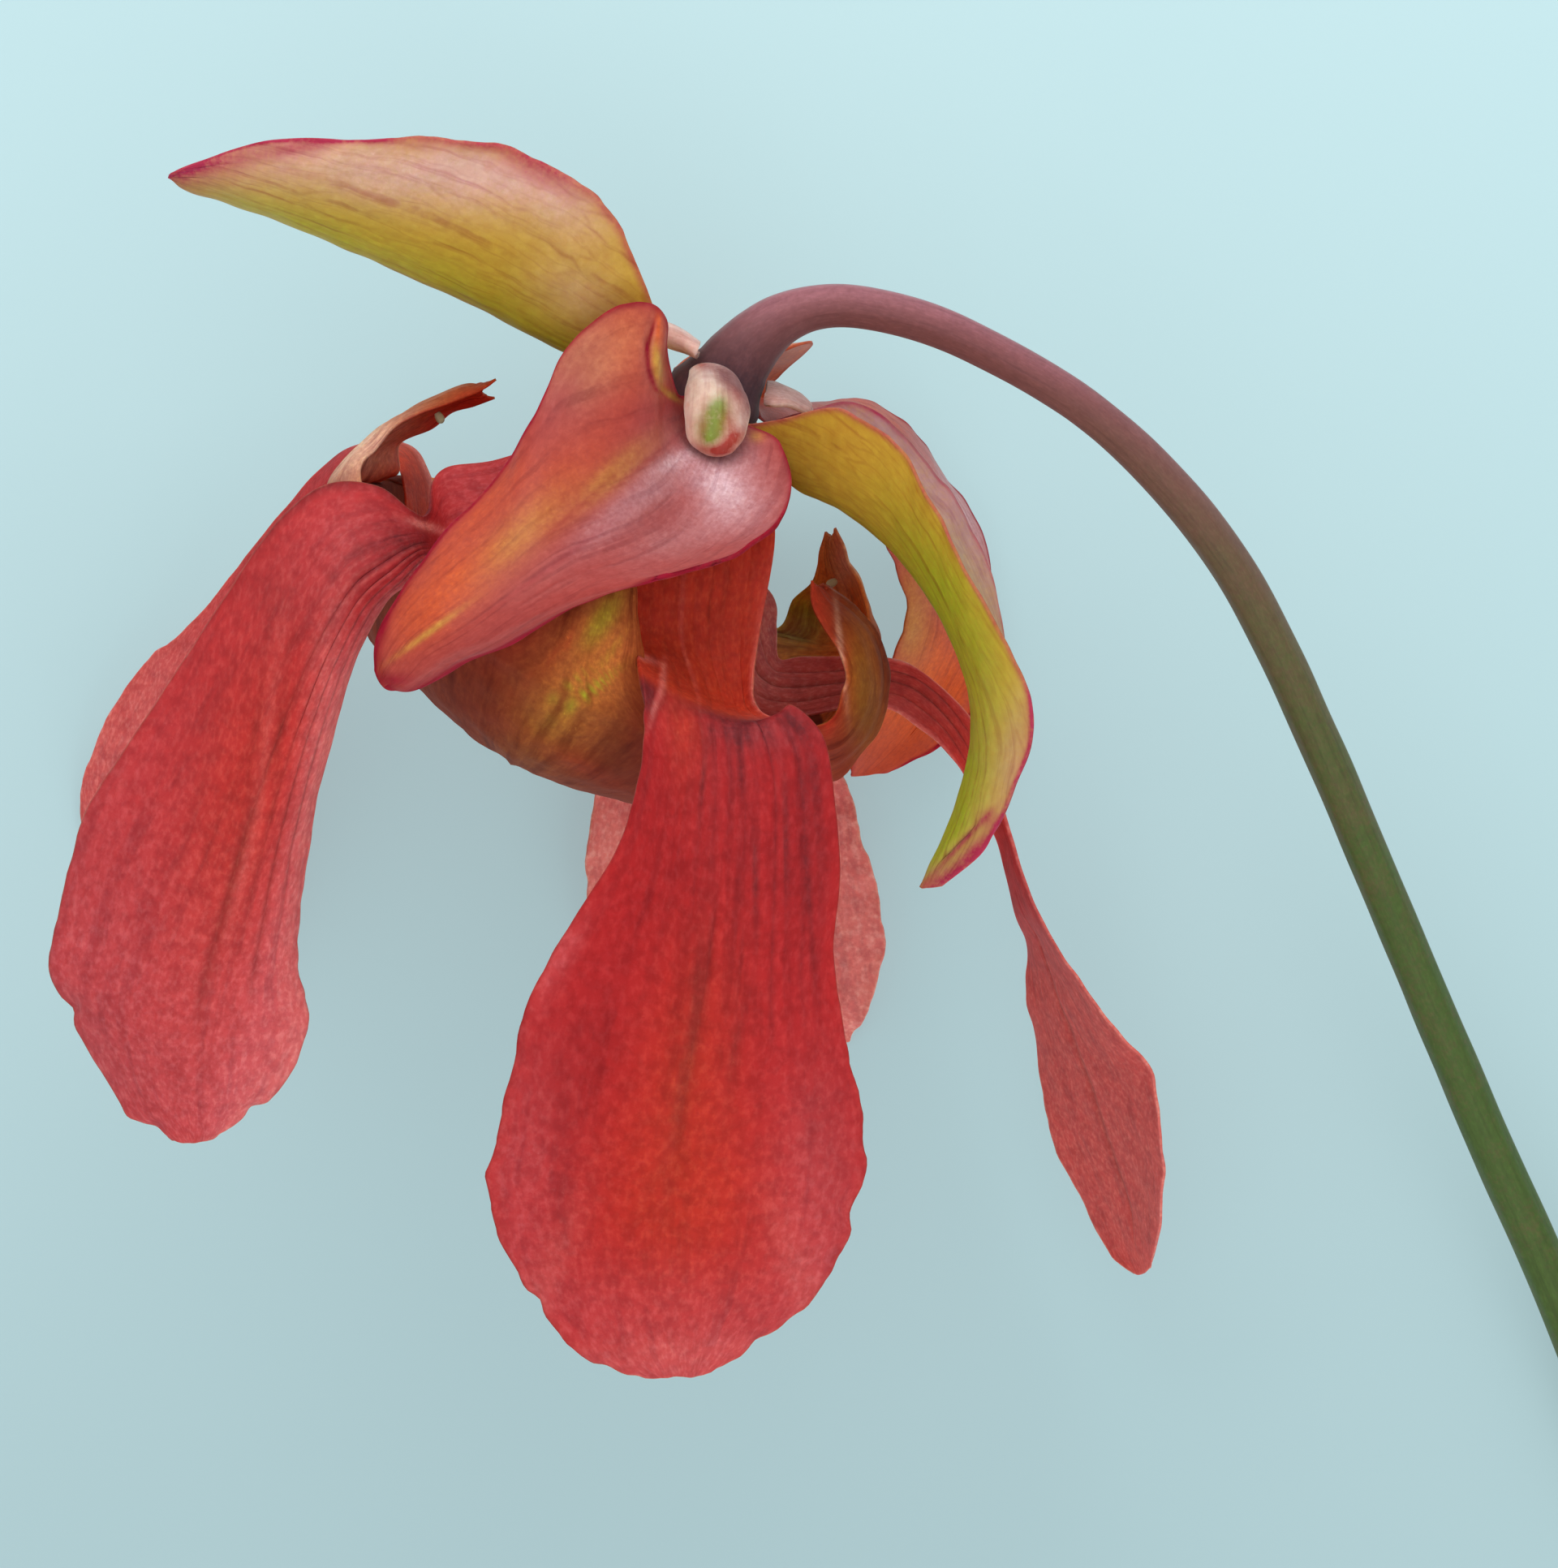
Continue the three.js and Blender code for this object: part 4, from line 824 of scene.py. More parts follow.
def normals(points, quads):
    """Unit normal at each point: the sum of the crossed diagonals of the quads that meet there."""
    a, b, c, d = (points[quads[:, k]] for k in range(4))
    cross = np.cross(c - a, d - b)
    total = np.zeros_like(points)
    for k in range(4):
        np.add.at(total, quads[:, k], cross)
    return unit(total)


def shell(points, quads, thickness):
    """Closed wall from a sheet: the points moved half the thickness both ways along their normals,
    the far side's quads turned over, and a strip of quads over every open edge. A shell whose
    lowest point is less than 0.4 mm over the table is let down onto it, by exp(-z / 2 mm) as much
    at a height z, and what would sink under the table is pressed flat on it. Returns points, quads
    and the sheet's own count."""
    count = len(points)
    half = normals(points, quads) * (thickness / 2)[:, None]
    both = np.concatenate([points + half, points - half])
    resting = soft(both[:, 2].min(), 0.4 * MM, 0.2 * MM) * max(both[:, 2].min(), 0)
    both[:, 2] -= resting * np.exp(-both[:, 2] / (2 * MM))
    both[:, 2] = np.maximum(both[:, 2], 0)
    edges = np.concatenate([quads[:, [k, (k + 1) % 4]] for k in range(4)])
    code = edges[:, 0] * count + edges[:, 1]
    back = edges[:, 1] * count + edges[:, 0]
    rim = edges[~np.isin(back, code)]
    strip = np.stack([rim[:, 1], rim[:, 0], rim[:, 0] + count, rim[:, 1] + count], -1)
    return both, np.concatenate([quads, quads[:, ::-1] + count, strip]), count


def pipe(path, radius, sides, swell=None):
    """Tube along a path: rings of points at the radius round it, carried along without twisting,
    and closed by a pole at each end. swell is an optional factor for every point of the rings.
    Returns points, quads, triangles and (turn, length) of every point."""
    rings = len(path)
    ways = unit(np.gradient(path, axis=0))
    side = np.cross(ways[0], [0.3, 0.2, 0.9])
    sides_on = np.zeros_like(path)
    for i, way in enumerate(ways):
        side = unit(side - way * (side @ way))
        sides_on[i] = side
    other = np.cross(ways, sides_on)
    turn = np.arange(sides) / sides
    swell = np.ones((rings, sides)) if swell is None else swell
    out = radius[:, None] * swell
    ring = (
        path[:, None]
        + (out * np.cos(2 * np.pi * turn))[..., None] * sides_on[:, None]
        + (out * np.sin(2 * np.pi * turn))[..., None] * other[:, None]
    )
    points = np.concatenate([ring.reshape(-1, 3), path[:1], path[-1:]])
    points[:, 2] = np.maximum(points[:, 2], 0)
    length = np.concatenate([[0], np.cumsum(np.linalg.norm(np.diff(path, axis=0), axis=1))])
    marks = np.stack(np.broadcast_arrays(turn[None, :], length[:, None]), -1).reshape(-1, 2)
    marks = np.concatenate([marks, [[0.5, 0], [0.5, length[-1]]]])
    quads = grid_quads(rings, sides, wrap=True)
    return points, quads[:, ::-1], end_fans(rings, sides)[:, ::-1], marks


def join(parts):
    """Several (points, quads, triangles, marks, zones) sets as one set."""
    start = np.cumsum([0] + [len(p[0]) for p in parts])
    quads = np.concatenate([p[1] + s for p, s in zip(parts, start)])
    triangles = np.concatenate([p[2] + s for p, s in zip(parts, start)])
    return tuple(
        [np.concatenate([p[0] for p in parts]), quads, triangles]
        + [np.concatenate([p[k] for p in parts]) for k in (3, 4)]
    )


NO_TRIANGLES = np.zeros((0, 3), int)


def make_piece(name, node, slot, material, points, quads, triangles, marks, zones):
    """One mesh object from arrays. marks goes into its UV map, unrolled where a quad crosses the
    seam, and zones (four masks from 0 to 1) into its colour attribute."""
    mesh = bpy.data.meshes.new(name)
    mesh.from_pydata(points.tolist(), [], quads.tolist() + triangles.tolist())
    corners = np.concatenate([quads.ravel(), triangles.ravel()])
    uv = marks[corners]
    squares = uv[: quads.size].reshape(-1, 4, 2)
    torn = np.ptp(squares[..., 0], axis=1, keepdims=True) > 0.5
    squares[..., 0] += torn & (squares[..., 0] < 0.5)
    layer = mesh.uv_layers.new(name="growth")
    layer.data.foreach_set("uv", uv.astype(np.float32).ravel())
    masks = mesh.attributes.new("zones", "FLOAT_COLOR", "POINT")
    masks.data.foreach_set("color", np.clip(zones, 0, 1).astype(np.float32).ravel())
    mesh.shade_smooth()
    mesh.materials.append(material)
    mesh.validate()
    piece = bpy.data.objects.new(name, mesh)
    bpy.context.scene.collection.objects.link(piece)
    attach(piece, "root")
    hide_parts(node)


# Blades

def bell_at(places, x, y, long, short, turn):
    """Bell over the drawing round a point: exp(-(p / long)^2 - (q / short)^2), where p and q are
    the offsets along and across a line that is turned by so many degrees from the right."""
    across, down = on_drawing(places)
    turn = np.radians(turn)
    p = (across - x) * np.cos(turn) + (down - y) * np.sin(turn)
    q = (down - y) * np.cos(turn) - (across - x) * np.sin(turn)
    return np.exp(-((p / long) ** 2) - (q / short) ** 2)


def pushed(places, pushes):
    """Places moved one push after the other, each a bell over the drawing times its shift."""
    for x, y, long, short, turn, *shift in pushes:
        bell = bell_at(places, x, y, long, short, turn)
        places = places + bell[..., None] * np.array(shift) * MM
    return places


def paint(kinds, look, station, v, places, edge, grooves, face):
    """Masks for a skin's four tints, each the sum of its spots and of its terms. A spot is a bell
    round a drawing point, with two half-sizes in squares and a turn in degrees. The terms are:
    rise: a smooth step over the stations from low to high;
    across: a smooth step over v from low to high;
    band: a bell over v round a centre, with a half-width;
    patch: a bell over the stations and v, a centre and half-width for each;
    rim: one at the margin, falling to none at a distance in mm;
    side: the same amount all over the seen face (1) or the far one (-1);
    groove: painted shade along the blade's own furrows, partly their darker veins;
    edge: as rim, on the side of v that has the given sign, between two stations;
    lines: uneven fine lines along the blade between two stations, so many to a unit of v, that
    fade in from one v to another."""
    zones = np.zeros((len(v), 4))
    for tint, terms in look["paint"].items():
        for form, *size, amount in terms:
            if form == "rise":
                mask = soft(station, *size)
            elif form == "across":
                mask = soft(v, *size)
            elif form == "band":
                mask = np.exp(-(((v - size[0]) / size[1]) ** 2))
            elif form == "patch":
                middle, reach, v_middle, v_reach = size
                mask = np.exp(-(((station - middle) / reach) ** 2) - ((v - v_middle) / v_reach) ** 2)
            elif form == "rim":
                mask = soft(edge / MM, size[0], 0)
            elif form == "side":
                mask = face == size[0]
            elif form == "groove":
                mask = grooves
            elif form == "edge":
                side, reach, first, last = size
                mask = soft(edge / MM, reach, 0) * (v * side > 0)
                mask = mask * soft(station, first - 1, first) * soft(station, last + 1, last)
            elif form == "lines":
                first, last, count, low, high = size
                mask = np.clip(1.6 * wobble(v * count, LINES_SEED), 0, 1) * soft(v, low, high)
                mask = mask * soft(station, first - 1, first + 1) * soft(station, last + 2, last - 2)
            else:
                raise ValueError(f"no such term: {form}")
            zones[:, kinds.index(tint)] += amount * mask
    for tint, spots in look.get("spots", {}).items():
        for *size, amount in spots:
            zones[:, kinds.index(tint)] += amount * bell_at(places, *size)
    return zones


def blade(name, slot, skin, kinds, base, rows, look, grid, thick, rim_thick):
    """A petal, sepal or bract as one closed shell. A point is the quadratic through its row's left
    edge, midrib and right edge at v, and rows are joined by the curve of along(). It is then moved
    across and along the sheet by the uneven margin, and out of the sheet by the ruffle, by the
    furrows, which are bells over v between two stations, and by low lumps. After the pushes the
    sheet gets its wall, 1 - v^4 between rim and middle, and the beads on it."""
    rings, columns = grid
    rows = at(np.reshape(rows, (-1, 3, 3)))
    table = np.concatenate([np.reshape(base, (1, 9)), rows.reshape(-1, 9)])
    u = np.linspace(0, 1, rings)
    w = np.linspace(-1, 1, columns)
    v = 0.55 * w + 0.45 * np.sin(w * np.pi / 2)
    sheet = (along(table, u).reshape(rings, 1, 3, 3) * row_weights(v)[None, :, :, None]).sum(2)
    station = np.broadcast_to((u * len(rows))[:, None], (rings, columns))
    v = np.broadcast_to(v[None, :], (rings, columns))
    down = np.gradient(sheet, axis=0)
    step = np.linalg.norm(down[:, columns // 2], axis=1)
    down = unit(down)
    over = unit(np.gradient(sheet, axis=1))
    out = unit(np.cross(down, over))
    length = np.cumsum(step)
    width = np.linalg.norm(np.diff(sheet, axis=1), axis=2).sum(1)
    length_at = np.broadcast_to(length[:, None], (rings, columns))
    edge = (1 - np.abs(v)) * width[:, None] / 2
    edge = np.minimum(edge, length[-1] - length_at + 0.3 * edge)
    seed, notch = look["seed"], look.get("notch", NOTCH)

    def margin_waves(size, first):
        """Waves of a size in mm along the left margin and, from the next seed, the right one."""
        left, right = (wobble(length / (size * MM), seed + first + k) for k in (0, 1))
        return np.where(v < 0, left[:, None], right[:, None])

    grown = soft(station, *look["smooth_to"])
    scallop = look["scallop"] * MM * grown * margin_waves(notch, 0) * np.abs(v) ** 7 * np.sign(v)
    tip_waves = wobble(v * width[:, None] / 2 / (notch * MM), seed + 2)
    tip_scallop = look["scallop"] * MM * soft(u, 0.93, 1)[:, None] * tip_waves
    lift = look["ruffle"] * MM * grown * margin_waves(RUFFLE, 3) * np.abs(v) ** 3.5
    # grooves: the mask of painted shade along the furrows
    grooves = np.zeros((rings, columns))
    for first, last, v_first, v_last, breadth, depth in look.get("grooves", ()):
        centre = v_first + (v_last - v_first) * (station - first) / (last - first)
        bell = np.exp(-(((v - centre) / breadth) ** 2))
        bell *= soft(station, first - 0.5, first + 0.8) * soft(station, last + 0.5, last - 0.8)
        lift = lift - depth * MM * bell
        grooves = np.maximum(grooves, bell * min(1, depth / DEEP_GROOVE))
    lift = lift + LUMP_HEIGHT * MM * lumps(sheet, LUMP_SIZE * MM, seed + 5)
    ahead = down[:, columns // 2, None]
    sheet = sheet + over * scallop[..., None] + ahead * tip_scallop[..., None] + out * lift[..., None]
    sheet = pushed(sheet, look.get("pushes", ()))
    wall = rim_thick + (thick - rim_thick) * (1 - v**4) * soft(1 - u, 0, 0.08)[:, None]
    for first, last, side, breadth, height in look.get("beads", ()):
        where = soft(station, first, first + 1) * soft(station, last, last - 1) * (v * side > 0)
        wall = wall + height * MM * where * np.exp(-((edge / MM / breadth) ** 2))
    points, quads, count = shell(sheet.reshape(-1, 3), grid_quads(rings, columns), wall.ravel())
    across = v / 4 * (1 + width[:, None] / width.max())
    marks = np.stack([across, length_at / width.max()], -1).reshape(-1, 2)
    station, v, edge, grooves = (np.tile(x.ravel(), 2) for x in (station, v, edge, grooves))
    zones = paint(kinds, look, station, v, points, edge, grooves, np.repeat([1, -1], count))
    make_piece(
        name + "_grown", name, slot, skin, points, quads, NO_TRIANGLES, np.tile(marks, (2, 1)), zones
    )


def rooted(angle, turn, radius, depth, half):
    """Base row of a blade: three points round the receptacle, half an arc to each side."""
    return around(angle + np.array([-half, 0, half]) * turn, radius, depth)


# Skins

class Skin:
    """A new material and the makers of its nodes. place is the piece's own coordinates, and growth
    its UV map, which follows the way the piece grew."""

    def __init__(self, name):
        self.material = bpy.data.materials.new(name)
        self.material.use_nodes = True
        self.tree = self.material.node_tree
        self.shader = self.tree.nodes["Principled BSDF"]
        self.place = self.node("ShaderNodeTexCoord").outputs["Object"]
        self.growth = self.node("ShaderNodeUVMap", uv_map="growth").outputs["UV"]

    def node(self, kind, inputs=(), **settings):
        """Adds a node, sets its properties, and sets or links its inputs by name or number."""
        made = self.tree.nodes.new(kind)
        for key, value in settings.items():
            setattr(made, key, value)
        for key, value in dict(inputs).items():
            if isinstance(value, bpy.types.NodeSocket):
                self.tree.links.new(value, made.inputs[key])
            else:
                made.inputs[key].default_value = value
        return made

    def noise(self, vector, scale, detail):
        """Fine noise from 0 to 1 at a scale per metre."""
        values = {"Vector": vector, "Scale": scale, "Detail": detail, "Roughness": 0.55}
        return self.node("ShaderNodeTexNoise", values).outputs[0]

    def math(self, operation, a, b, clamp=False):
        """The result of an operation on two values."""
        made = self.node("ShaderNodeMath", {0: a, 1: b}, operation=operation, use_clamp=clamp)
        return made.outputs[0]

    def span(self, value, low, high, to_low=0.0, to_high=1.0):
        """A smooth step of a value between low and high."""
        values = {0: value, 1: low, 2: high, 3: to_low, 4: to_high}
        made = self.node("ShaderNodeMapRange", values, interpolation_type="SMOOTHSTEP")
        return made.outputs[0]

    def mix(self, amount, under, over, blend="MIX"):
        """Colour over, laid on colour under by the amount, or multiplied into it."""
        made = self.node("ShaderNodeMix", data_type="RGBA", blend_type=blend)
        sockets = (made.inputs[0], made.inputs[6], made.inputs[7])
        for socket, value in zip(sockets, (amount, under, over)):
            if isinstance(value, bpy.types.NodeSocket):
                self.tree.links.new(value, socket)
            else:
                socket.default_value = value if isinstance(value, float) else (*value, 1)
        return made.outputs[2]

    def stretched(self, vector, x, y, seed, wander=0.0):
        """A vector scaled by x and y and shifted by the seed, with some noise added to it first."""
        shifted = vector
        if wander:
            values = {"Vector": self.place, "Scale": 260.0, "Detail": 2.0}
            drift = self.node("ShaderNodeTexNoise", values).outputs[1]
            values = {0: drift, 1: (0.5, 0.5, 0.5)}
            drift = self.node("ShaderNodeVectorMath", values, operation="SUBTRACT").outputs[0]
            drift = self.node("ShaderNodeVectorMath", {0: drift, "Scale": wander}, operation="SCALE")
            values = {0: vector, 1: drift.outputs[0]}
            shifted = self.node("ShaderNodeVectorMath", values, operation="ADD").outputs[0]
        values = {"Vector": shifted, "Location": (seed, seed, seed), "Scale": (x, y, 1.0)}
        return self.node("ShaderNodeMapping", values).outputs[0]


def living_skin(name, base, look):
    """Material of living tissue. The base colour is overlaid by up to four tints, each mask
    roughened by noise. Into that are multiplied patches, flecks, streaks along the growth, a net
    of fine veins that are the edges of Voronoi cells, and specks in the flecks' colour. The more
    of the last zone there is, the rougher the surface. The bump is highest in the flecks and
    lowest in the streaks."""
    skin = Skin(name)
    clouds = skin.noise(skin.place, 300.0, 4.0)
    grain = skin.noise(skin.place, 2600.0, 2.0)
    zones = skin.node("ShaderNodeAttribute", attribute_name="zones")
    split = skin.node("ShaderNodeSeparateColor", {0: zones.outputs["Color"]})
    masks = [*split.outputs, zones.outputs["Alpha"]]
    uneven = skin.math("MULTIPLY", skin.math("ADD", clouds, grain), 0.75)
    uneven = skin.math("ADD", uneven, 0.25)
    colour = base
    for mask, tint in zip(masks, look["tints"]):
        colour = skin.mix(skin.math("MULTIPLY", uneven, mask, clamp=True), colour, tint)
    dark, amount, scale = look["patch"]
    patches = skin.span(skin.noise(skin.place, scale, 5.0), 0.62, 0.30, 0.0, amount)
    colour = skin.mix(patches, colour, dark, "MULTIPLY")
    light, amount, scale = look["fleck"]
    mottle = skin.noise(skin.stretched(skin.growth, *scale, 7.0), 1.0, 4.0)
    flecks = skin.span(mottle, 0.42, 0.70)
    colour = skin.mix(skin.math("MULTIPLY", flecks, amount), colour, light, "MULTIPLY")
    dark, amount, scale = look["streak"]
    streaks = skin.noise(skin.stretched(skin.growth, *scale, 5.0, wander=0.03), 1.0, 4.0)
    streaks = skin.math("MULTIPLY", skin.span(streaks, 0.52, 0.34), skin.span(clouds, 0.3, 0.6))
    colour = skin.mix(skin.math("MULTIPLY", streaks, amount), colour, dark, "MULTIPLY")
    dark, amount, scale = look["net"]
    cells = {"Vector": skin.stretched(skin.growth, *scale, 1.0, wander=0.03), "Scale": 1.0}
    cells = skin.node("ShaderNodeTexVoronoi", cells, feature="DISTANCE_TO_EDGE").outputs["Distance"]
    veins = skin.math("MULTIPLY", skin.span(cells, 0.09, 0.0), skin.span(clouds, 0.62, 0.35, 0.2, 1.0))
    colour = skin.mix(skin.math("MULTIPLY", veins, amount), colour, dark, "MULTIPLY")
    specks = skin.math("MULTIPLY", skin.span(grain, 0.66, 0.74), skin.span(clouds, 0.55, 0.7))
    colour = skin.mix(skin.math("MULTIPLY", specks, 0.6), colour, light, "MULTIPLY")
    height = skin.math("SUBTRACT", skin.math("ADD", mottle, grain), skin.math("MULTIPLY", streaks, 0.5))
    values = {"Strength": 1.0, "Distance": look["relief"] * MM, "Height": height}
    skin.tree.links.new(skin.node("ShaderNodeBump", values).outputs[0], skin.shader.inputs["Normal"])
    skin.tree.links.new(colour, skin.shader.inputs["Base Color"])
    rough = skin.span(masks[3], 0.2, 0.9, look["rough"], 0.9)
    skin.tree.links.new(rough, skin.shader.inputs["Roughness"])
    settings = {
        "Specular IOR Level": look["gloss"], "Sheen Weight": look["fuzz"], "Sheen Roughness": 0.4,
        "Subsurface Weight": look["through"], "Subsurface Radius": (1.0, 0.45, 0.25),
        "Subsurface Scale": 1.5 * MM,
    }
    for socket, value in settings.items():
        skin.shader.inputs[socket].default_value = value
    return skin.material


# Scape, umbrella and the small parts

def make_scape(skin):
    """Tube carried along the drawn path. Its radius is swollen by low ridges,
    1 + RIDGE_HEIGHT * cos(RIDGES turns), and by soft lumps, and its last rings draw in to a pole
    that stands 0.3 of a step past the cut, as 1 - d^2 for a ring at d of the radius. It is red
    above and dark near the receptacle, and turns green along the way down. The red is strongest on
    the upper side, partly its own colour and partly a painted highlight, and the dark is strongest
    on the underside, partly its own colour and partly painted shade."""
    rings, sides = SCAPE_GRID
    path = along(SCAPE, np.linspace(0, 1, rings))
    centre = at(path[:, :3])
    radius = path[:, 3] * MM
    draw = np.linspace(1, 0, 9)[1:-1, None]
    cut = np.repeat(centre[-1:], len(draw), 0) - (centre[-1] - centre[-2]) * 0.3 * (1 - draw**2)
    centre = np.concatenate([centre, cut])
    radius = np.concatenate([radius, radius[-1] * draw[:, 0]])
    turn = np.arange(sides) / sides
    place = centre[:, None] + turn[None, :, None] * 20 * MM
    swell = 1 + RIDGE_HEIGHT * np.cos(2 * np.pi * RIDGES * turn)[None, :]
    swell = swell + 0.014 * lumps(place, 9 * MM, 4)
    points, quads, triangles, marks = pipe(centre, radius, sides, swell)
    cut_station = len(SCAPE)
    station = np.linspace(0, 1, rings) * (cut_station - 1)
    station = np.concatenate([station, np.full(len(draw), cut_station)])
    station = np.concatenate([np.repeat(station, sides), [0, cut_station]])
    # upper: how far up the side of its ring a point is; the red on the upper side is partly a painted
    # highlight, and the dark on the underside partly painted shade
    upper = (points[:-2, 1] - np.repeat(centre[:, 1], sides)) / np.repeat(radius, sides)
    upper = np.concatenate([soft(upper, -0.4, 1), [0, 0]])
    green = soft(station, 11.5, 22)
    cut_end = station > cut_station - 0.5
    red = soft(station, 22, 8.5) * soft(station, 4, 7) * (0.1 + 0.9 * upper)
    dark = soft(station, 8, 3) * (1 - 0.5 * upper)
    zones = np.stack([green, cut_end, red, dark], -1)
    marks[:, 1] /= 30 * MM
    make_piece("scape_grown", "scape", "scape", skin, points, quads, triangles, marks, zones)


def bowl_points(angle, v, ring):
    """Umbrella bowl: its profile turned round the axis, pulled in by PULL * v^2 between the ribs."""
    profile = along(BOWL, ring.ravel() / (len(BOWL) - 1)).reshape(*ring.shape, 2)
    pull = 1 - PULL * v**2 * np.minimum(1, 2 * ring / len(BOWL))
    return around(angle, profile[..., 0] * pull, profile[..., 1])


def umbrella_sheet():
    """The umbrella's outer face. The bowl is a grid of rings and angles, whose middle is closed by
    quads from side to side. Beyond its last ring are five lobes, each a grid of curves through the
    bowl's last two rings and the lobe's rows. Returns points, quads, marks, and for every point its
    lobe, its v and its reach, which is -1 in the middle, 0 at the bowl's end and 1 at a lobe's."""
    columns, bowl_rings, lobe_rings = UMBRELLA_GRID
    last = len(BOWL) - 1
    v = -1 + 2 * np.arange(columns) / columns
    angle = np.concatenate([lobe["angle"] + FIFTH / 2 * v for lobe in LOBES])
    sides = angle.size
    grid = np.broadcast_arrays(
        angle[None, :], np.tile(v, len(LOBES))[None, :], np.linspace(0.05, last, bowl_rings)[:, None]
    )
    j = np.arange(sides // 2 - 1)
    lid = np.stack([j, j + 1, sides - 2 - j, sides - 1 - j], -1)
    points = [bowl_points(*grid).reshape(-1, 3)]
    quads = [grid_quads(bowl_rings, sides, wrap=True), lid]
    marks = [np.stack([grid[1] / 2, grid[2] / 20], -1).reshape(-1, 2)]
    of_points = [np.stack([
        np.tile(np.repeat(np.arange(len(LOBES)), columns), bowl_rings),
        grid[1].ravel(), grid[2].ravel() / last - 1,
    ])]
    count = len(points[0])
    j = np.arange(columns + 1)
    v = -1 + 2 * j / columns
    far = np.linspace(0, 1, lobe_rings + 1)[1:]
    v_grid, far_grid = np.broadcast_arrays(v[None, :], far[:, None])
    for k, lobe in enumerate(LOBES):
        drawn_rows = at(np.reshape(lobe["rows"], (-1, 3, 3)))
        start = [bowl_points(lobe["angle"] + FIFTH / 2 * v, v, np.full(v.shape, float(ring)))
                 for ring in (last - 1, last)]
        rows = (drawn_rows[:, None] * row_weights(v)[None, :, :, None]).sum(2)
        rows = np.concatenate([start, rows]).reshape(len(rows) + 2, -1)
        t = (1 + len(drawn_rows) * far) / (len(drawn_rows) + 1)
        points.append(along(rows, t).reshape(-1, 3))
        rim = (bowl_rings - 1) * sides + (k * columns + j) % sides
        ids = np.concatenate([rim, count + np.arange(far_grid.size)]).reshape(-1, columns + 1)
        corners = (ids[:-1, :-1], ids[1:, :-1], ids[1:, 1:], ids[:-1, 1:])
        quads.append(np.stack(corners, -1).reshape(-1, 4))
        marks.append(np.stack([v_grid / 2, 0.55 + 0.9 * far_grid], -1).reshape(-1, 2))
        of_points.append(np.stack([np.full(v_grid.size, k), v_grid.ravel(), far_grid.ravel()]))
        count += far_grid.size
    points, quads, marks = (np.concatenate(x) for x in (points, quads, marks))
    if normals(points, quads)[0] @ AXIS < 0:
        quads = quads[:, ::-1]
    return points, quads, marks, np.concatenate(of_points, 1)


def make_umbrella(skin, kinds, sizes):
    """The sheet of umbrella_sheet(), made a closed shell. Ribs stand out on it along the keels and,
    lower, at v of 0.3 and 0.6, as bells over v, and so do soft lumps. Its wall thins towards the
    lobes' margins. The column is a tube that flares into the bowl."""
    points, quads, marks, (lobe_of, v, reach) = umbrella_sheet()
    keel = np.exp(-((v / RIB) ** 2)) * soft(reach, -0.8, -0.3)
    side_ribs = sum(np.exp(-(((np.abs(v) - at_v) / RIB) ** 2)) for at_v in (0.3, 0.6))
    lift = 0.3 * keel + 0.1 * side_ribs * soft(reach, -0.7, 0) + 0.07 * lumps(points, 3 * MM, 8)
    points = points + normals(points, quads) * lift[:, None] * MM
    points = pushed(points, UMBRELLA_PUSHES)
    margin = np.maximum(np.abs(v), soft(reach, 0.9, 1)) * soft(reach, 0, 0.1)
    wall = sizes.umbrella_wall + (sizes.rim_wall - sizes.umbrella_wall) * margin**4
    both, quads, count = shell(points, quads, wall)
    face = np.repeat([1, -1], count)
    lobe_of, v, reach = (np.tile(x, 2) for x in (lobe_of, v, reach))
    zones = np.zeros((len(both), 4))
    for lobe, tint, form, *size, amount in UMBRELLA_PAINT:
        if form == "spot":
            mask = bell_at(both, *size)
        elif form == "rim":
            mask = soft(np.abs(v), 1 - size[0], 1) * soft(reach, 0, 0.15)
        elif form == "side":
            mask = face == size[0]
        else:
            raise ValueError(f"no such term: {form}")
        if lobe is not None:
            mask = mask * ((lobe_of == lobe) & (reach > 0))
        zones[:, kinds.index(tint)] += amount * mask
    radius, depth = along(COLUMN, np.linspace(0, 1, 60))[2:].T
    tube = pipe(HEART_POINT + depth[:, None] * MM * AXIS, radius * MM, 30)
    tube_zones = np.zeros((len(tube[0]), 4))
    tube_zones[:, 2] = 0.5
    make_piece(
        "style_umbrella_grown", "style_umbrella", "umbrella", skin,
        *join([(both, quads, NO_TRIANGLES, np.tile(marks, (2, 1)), zones), (*tube, tube_zones)]),
    )


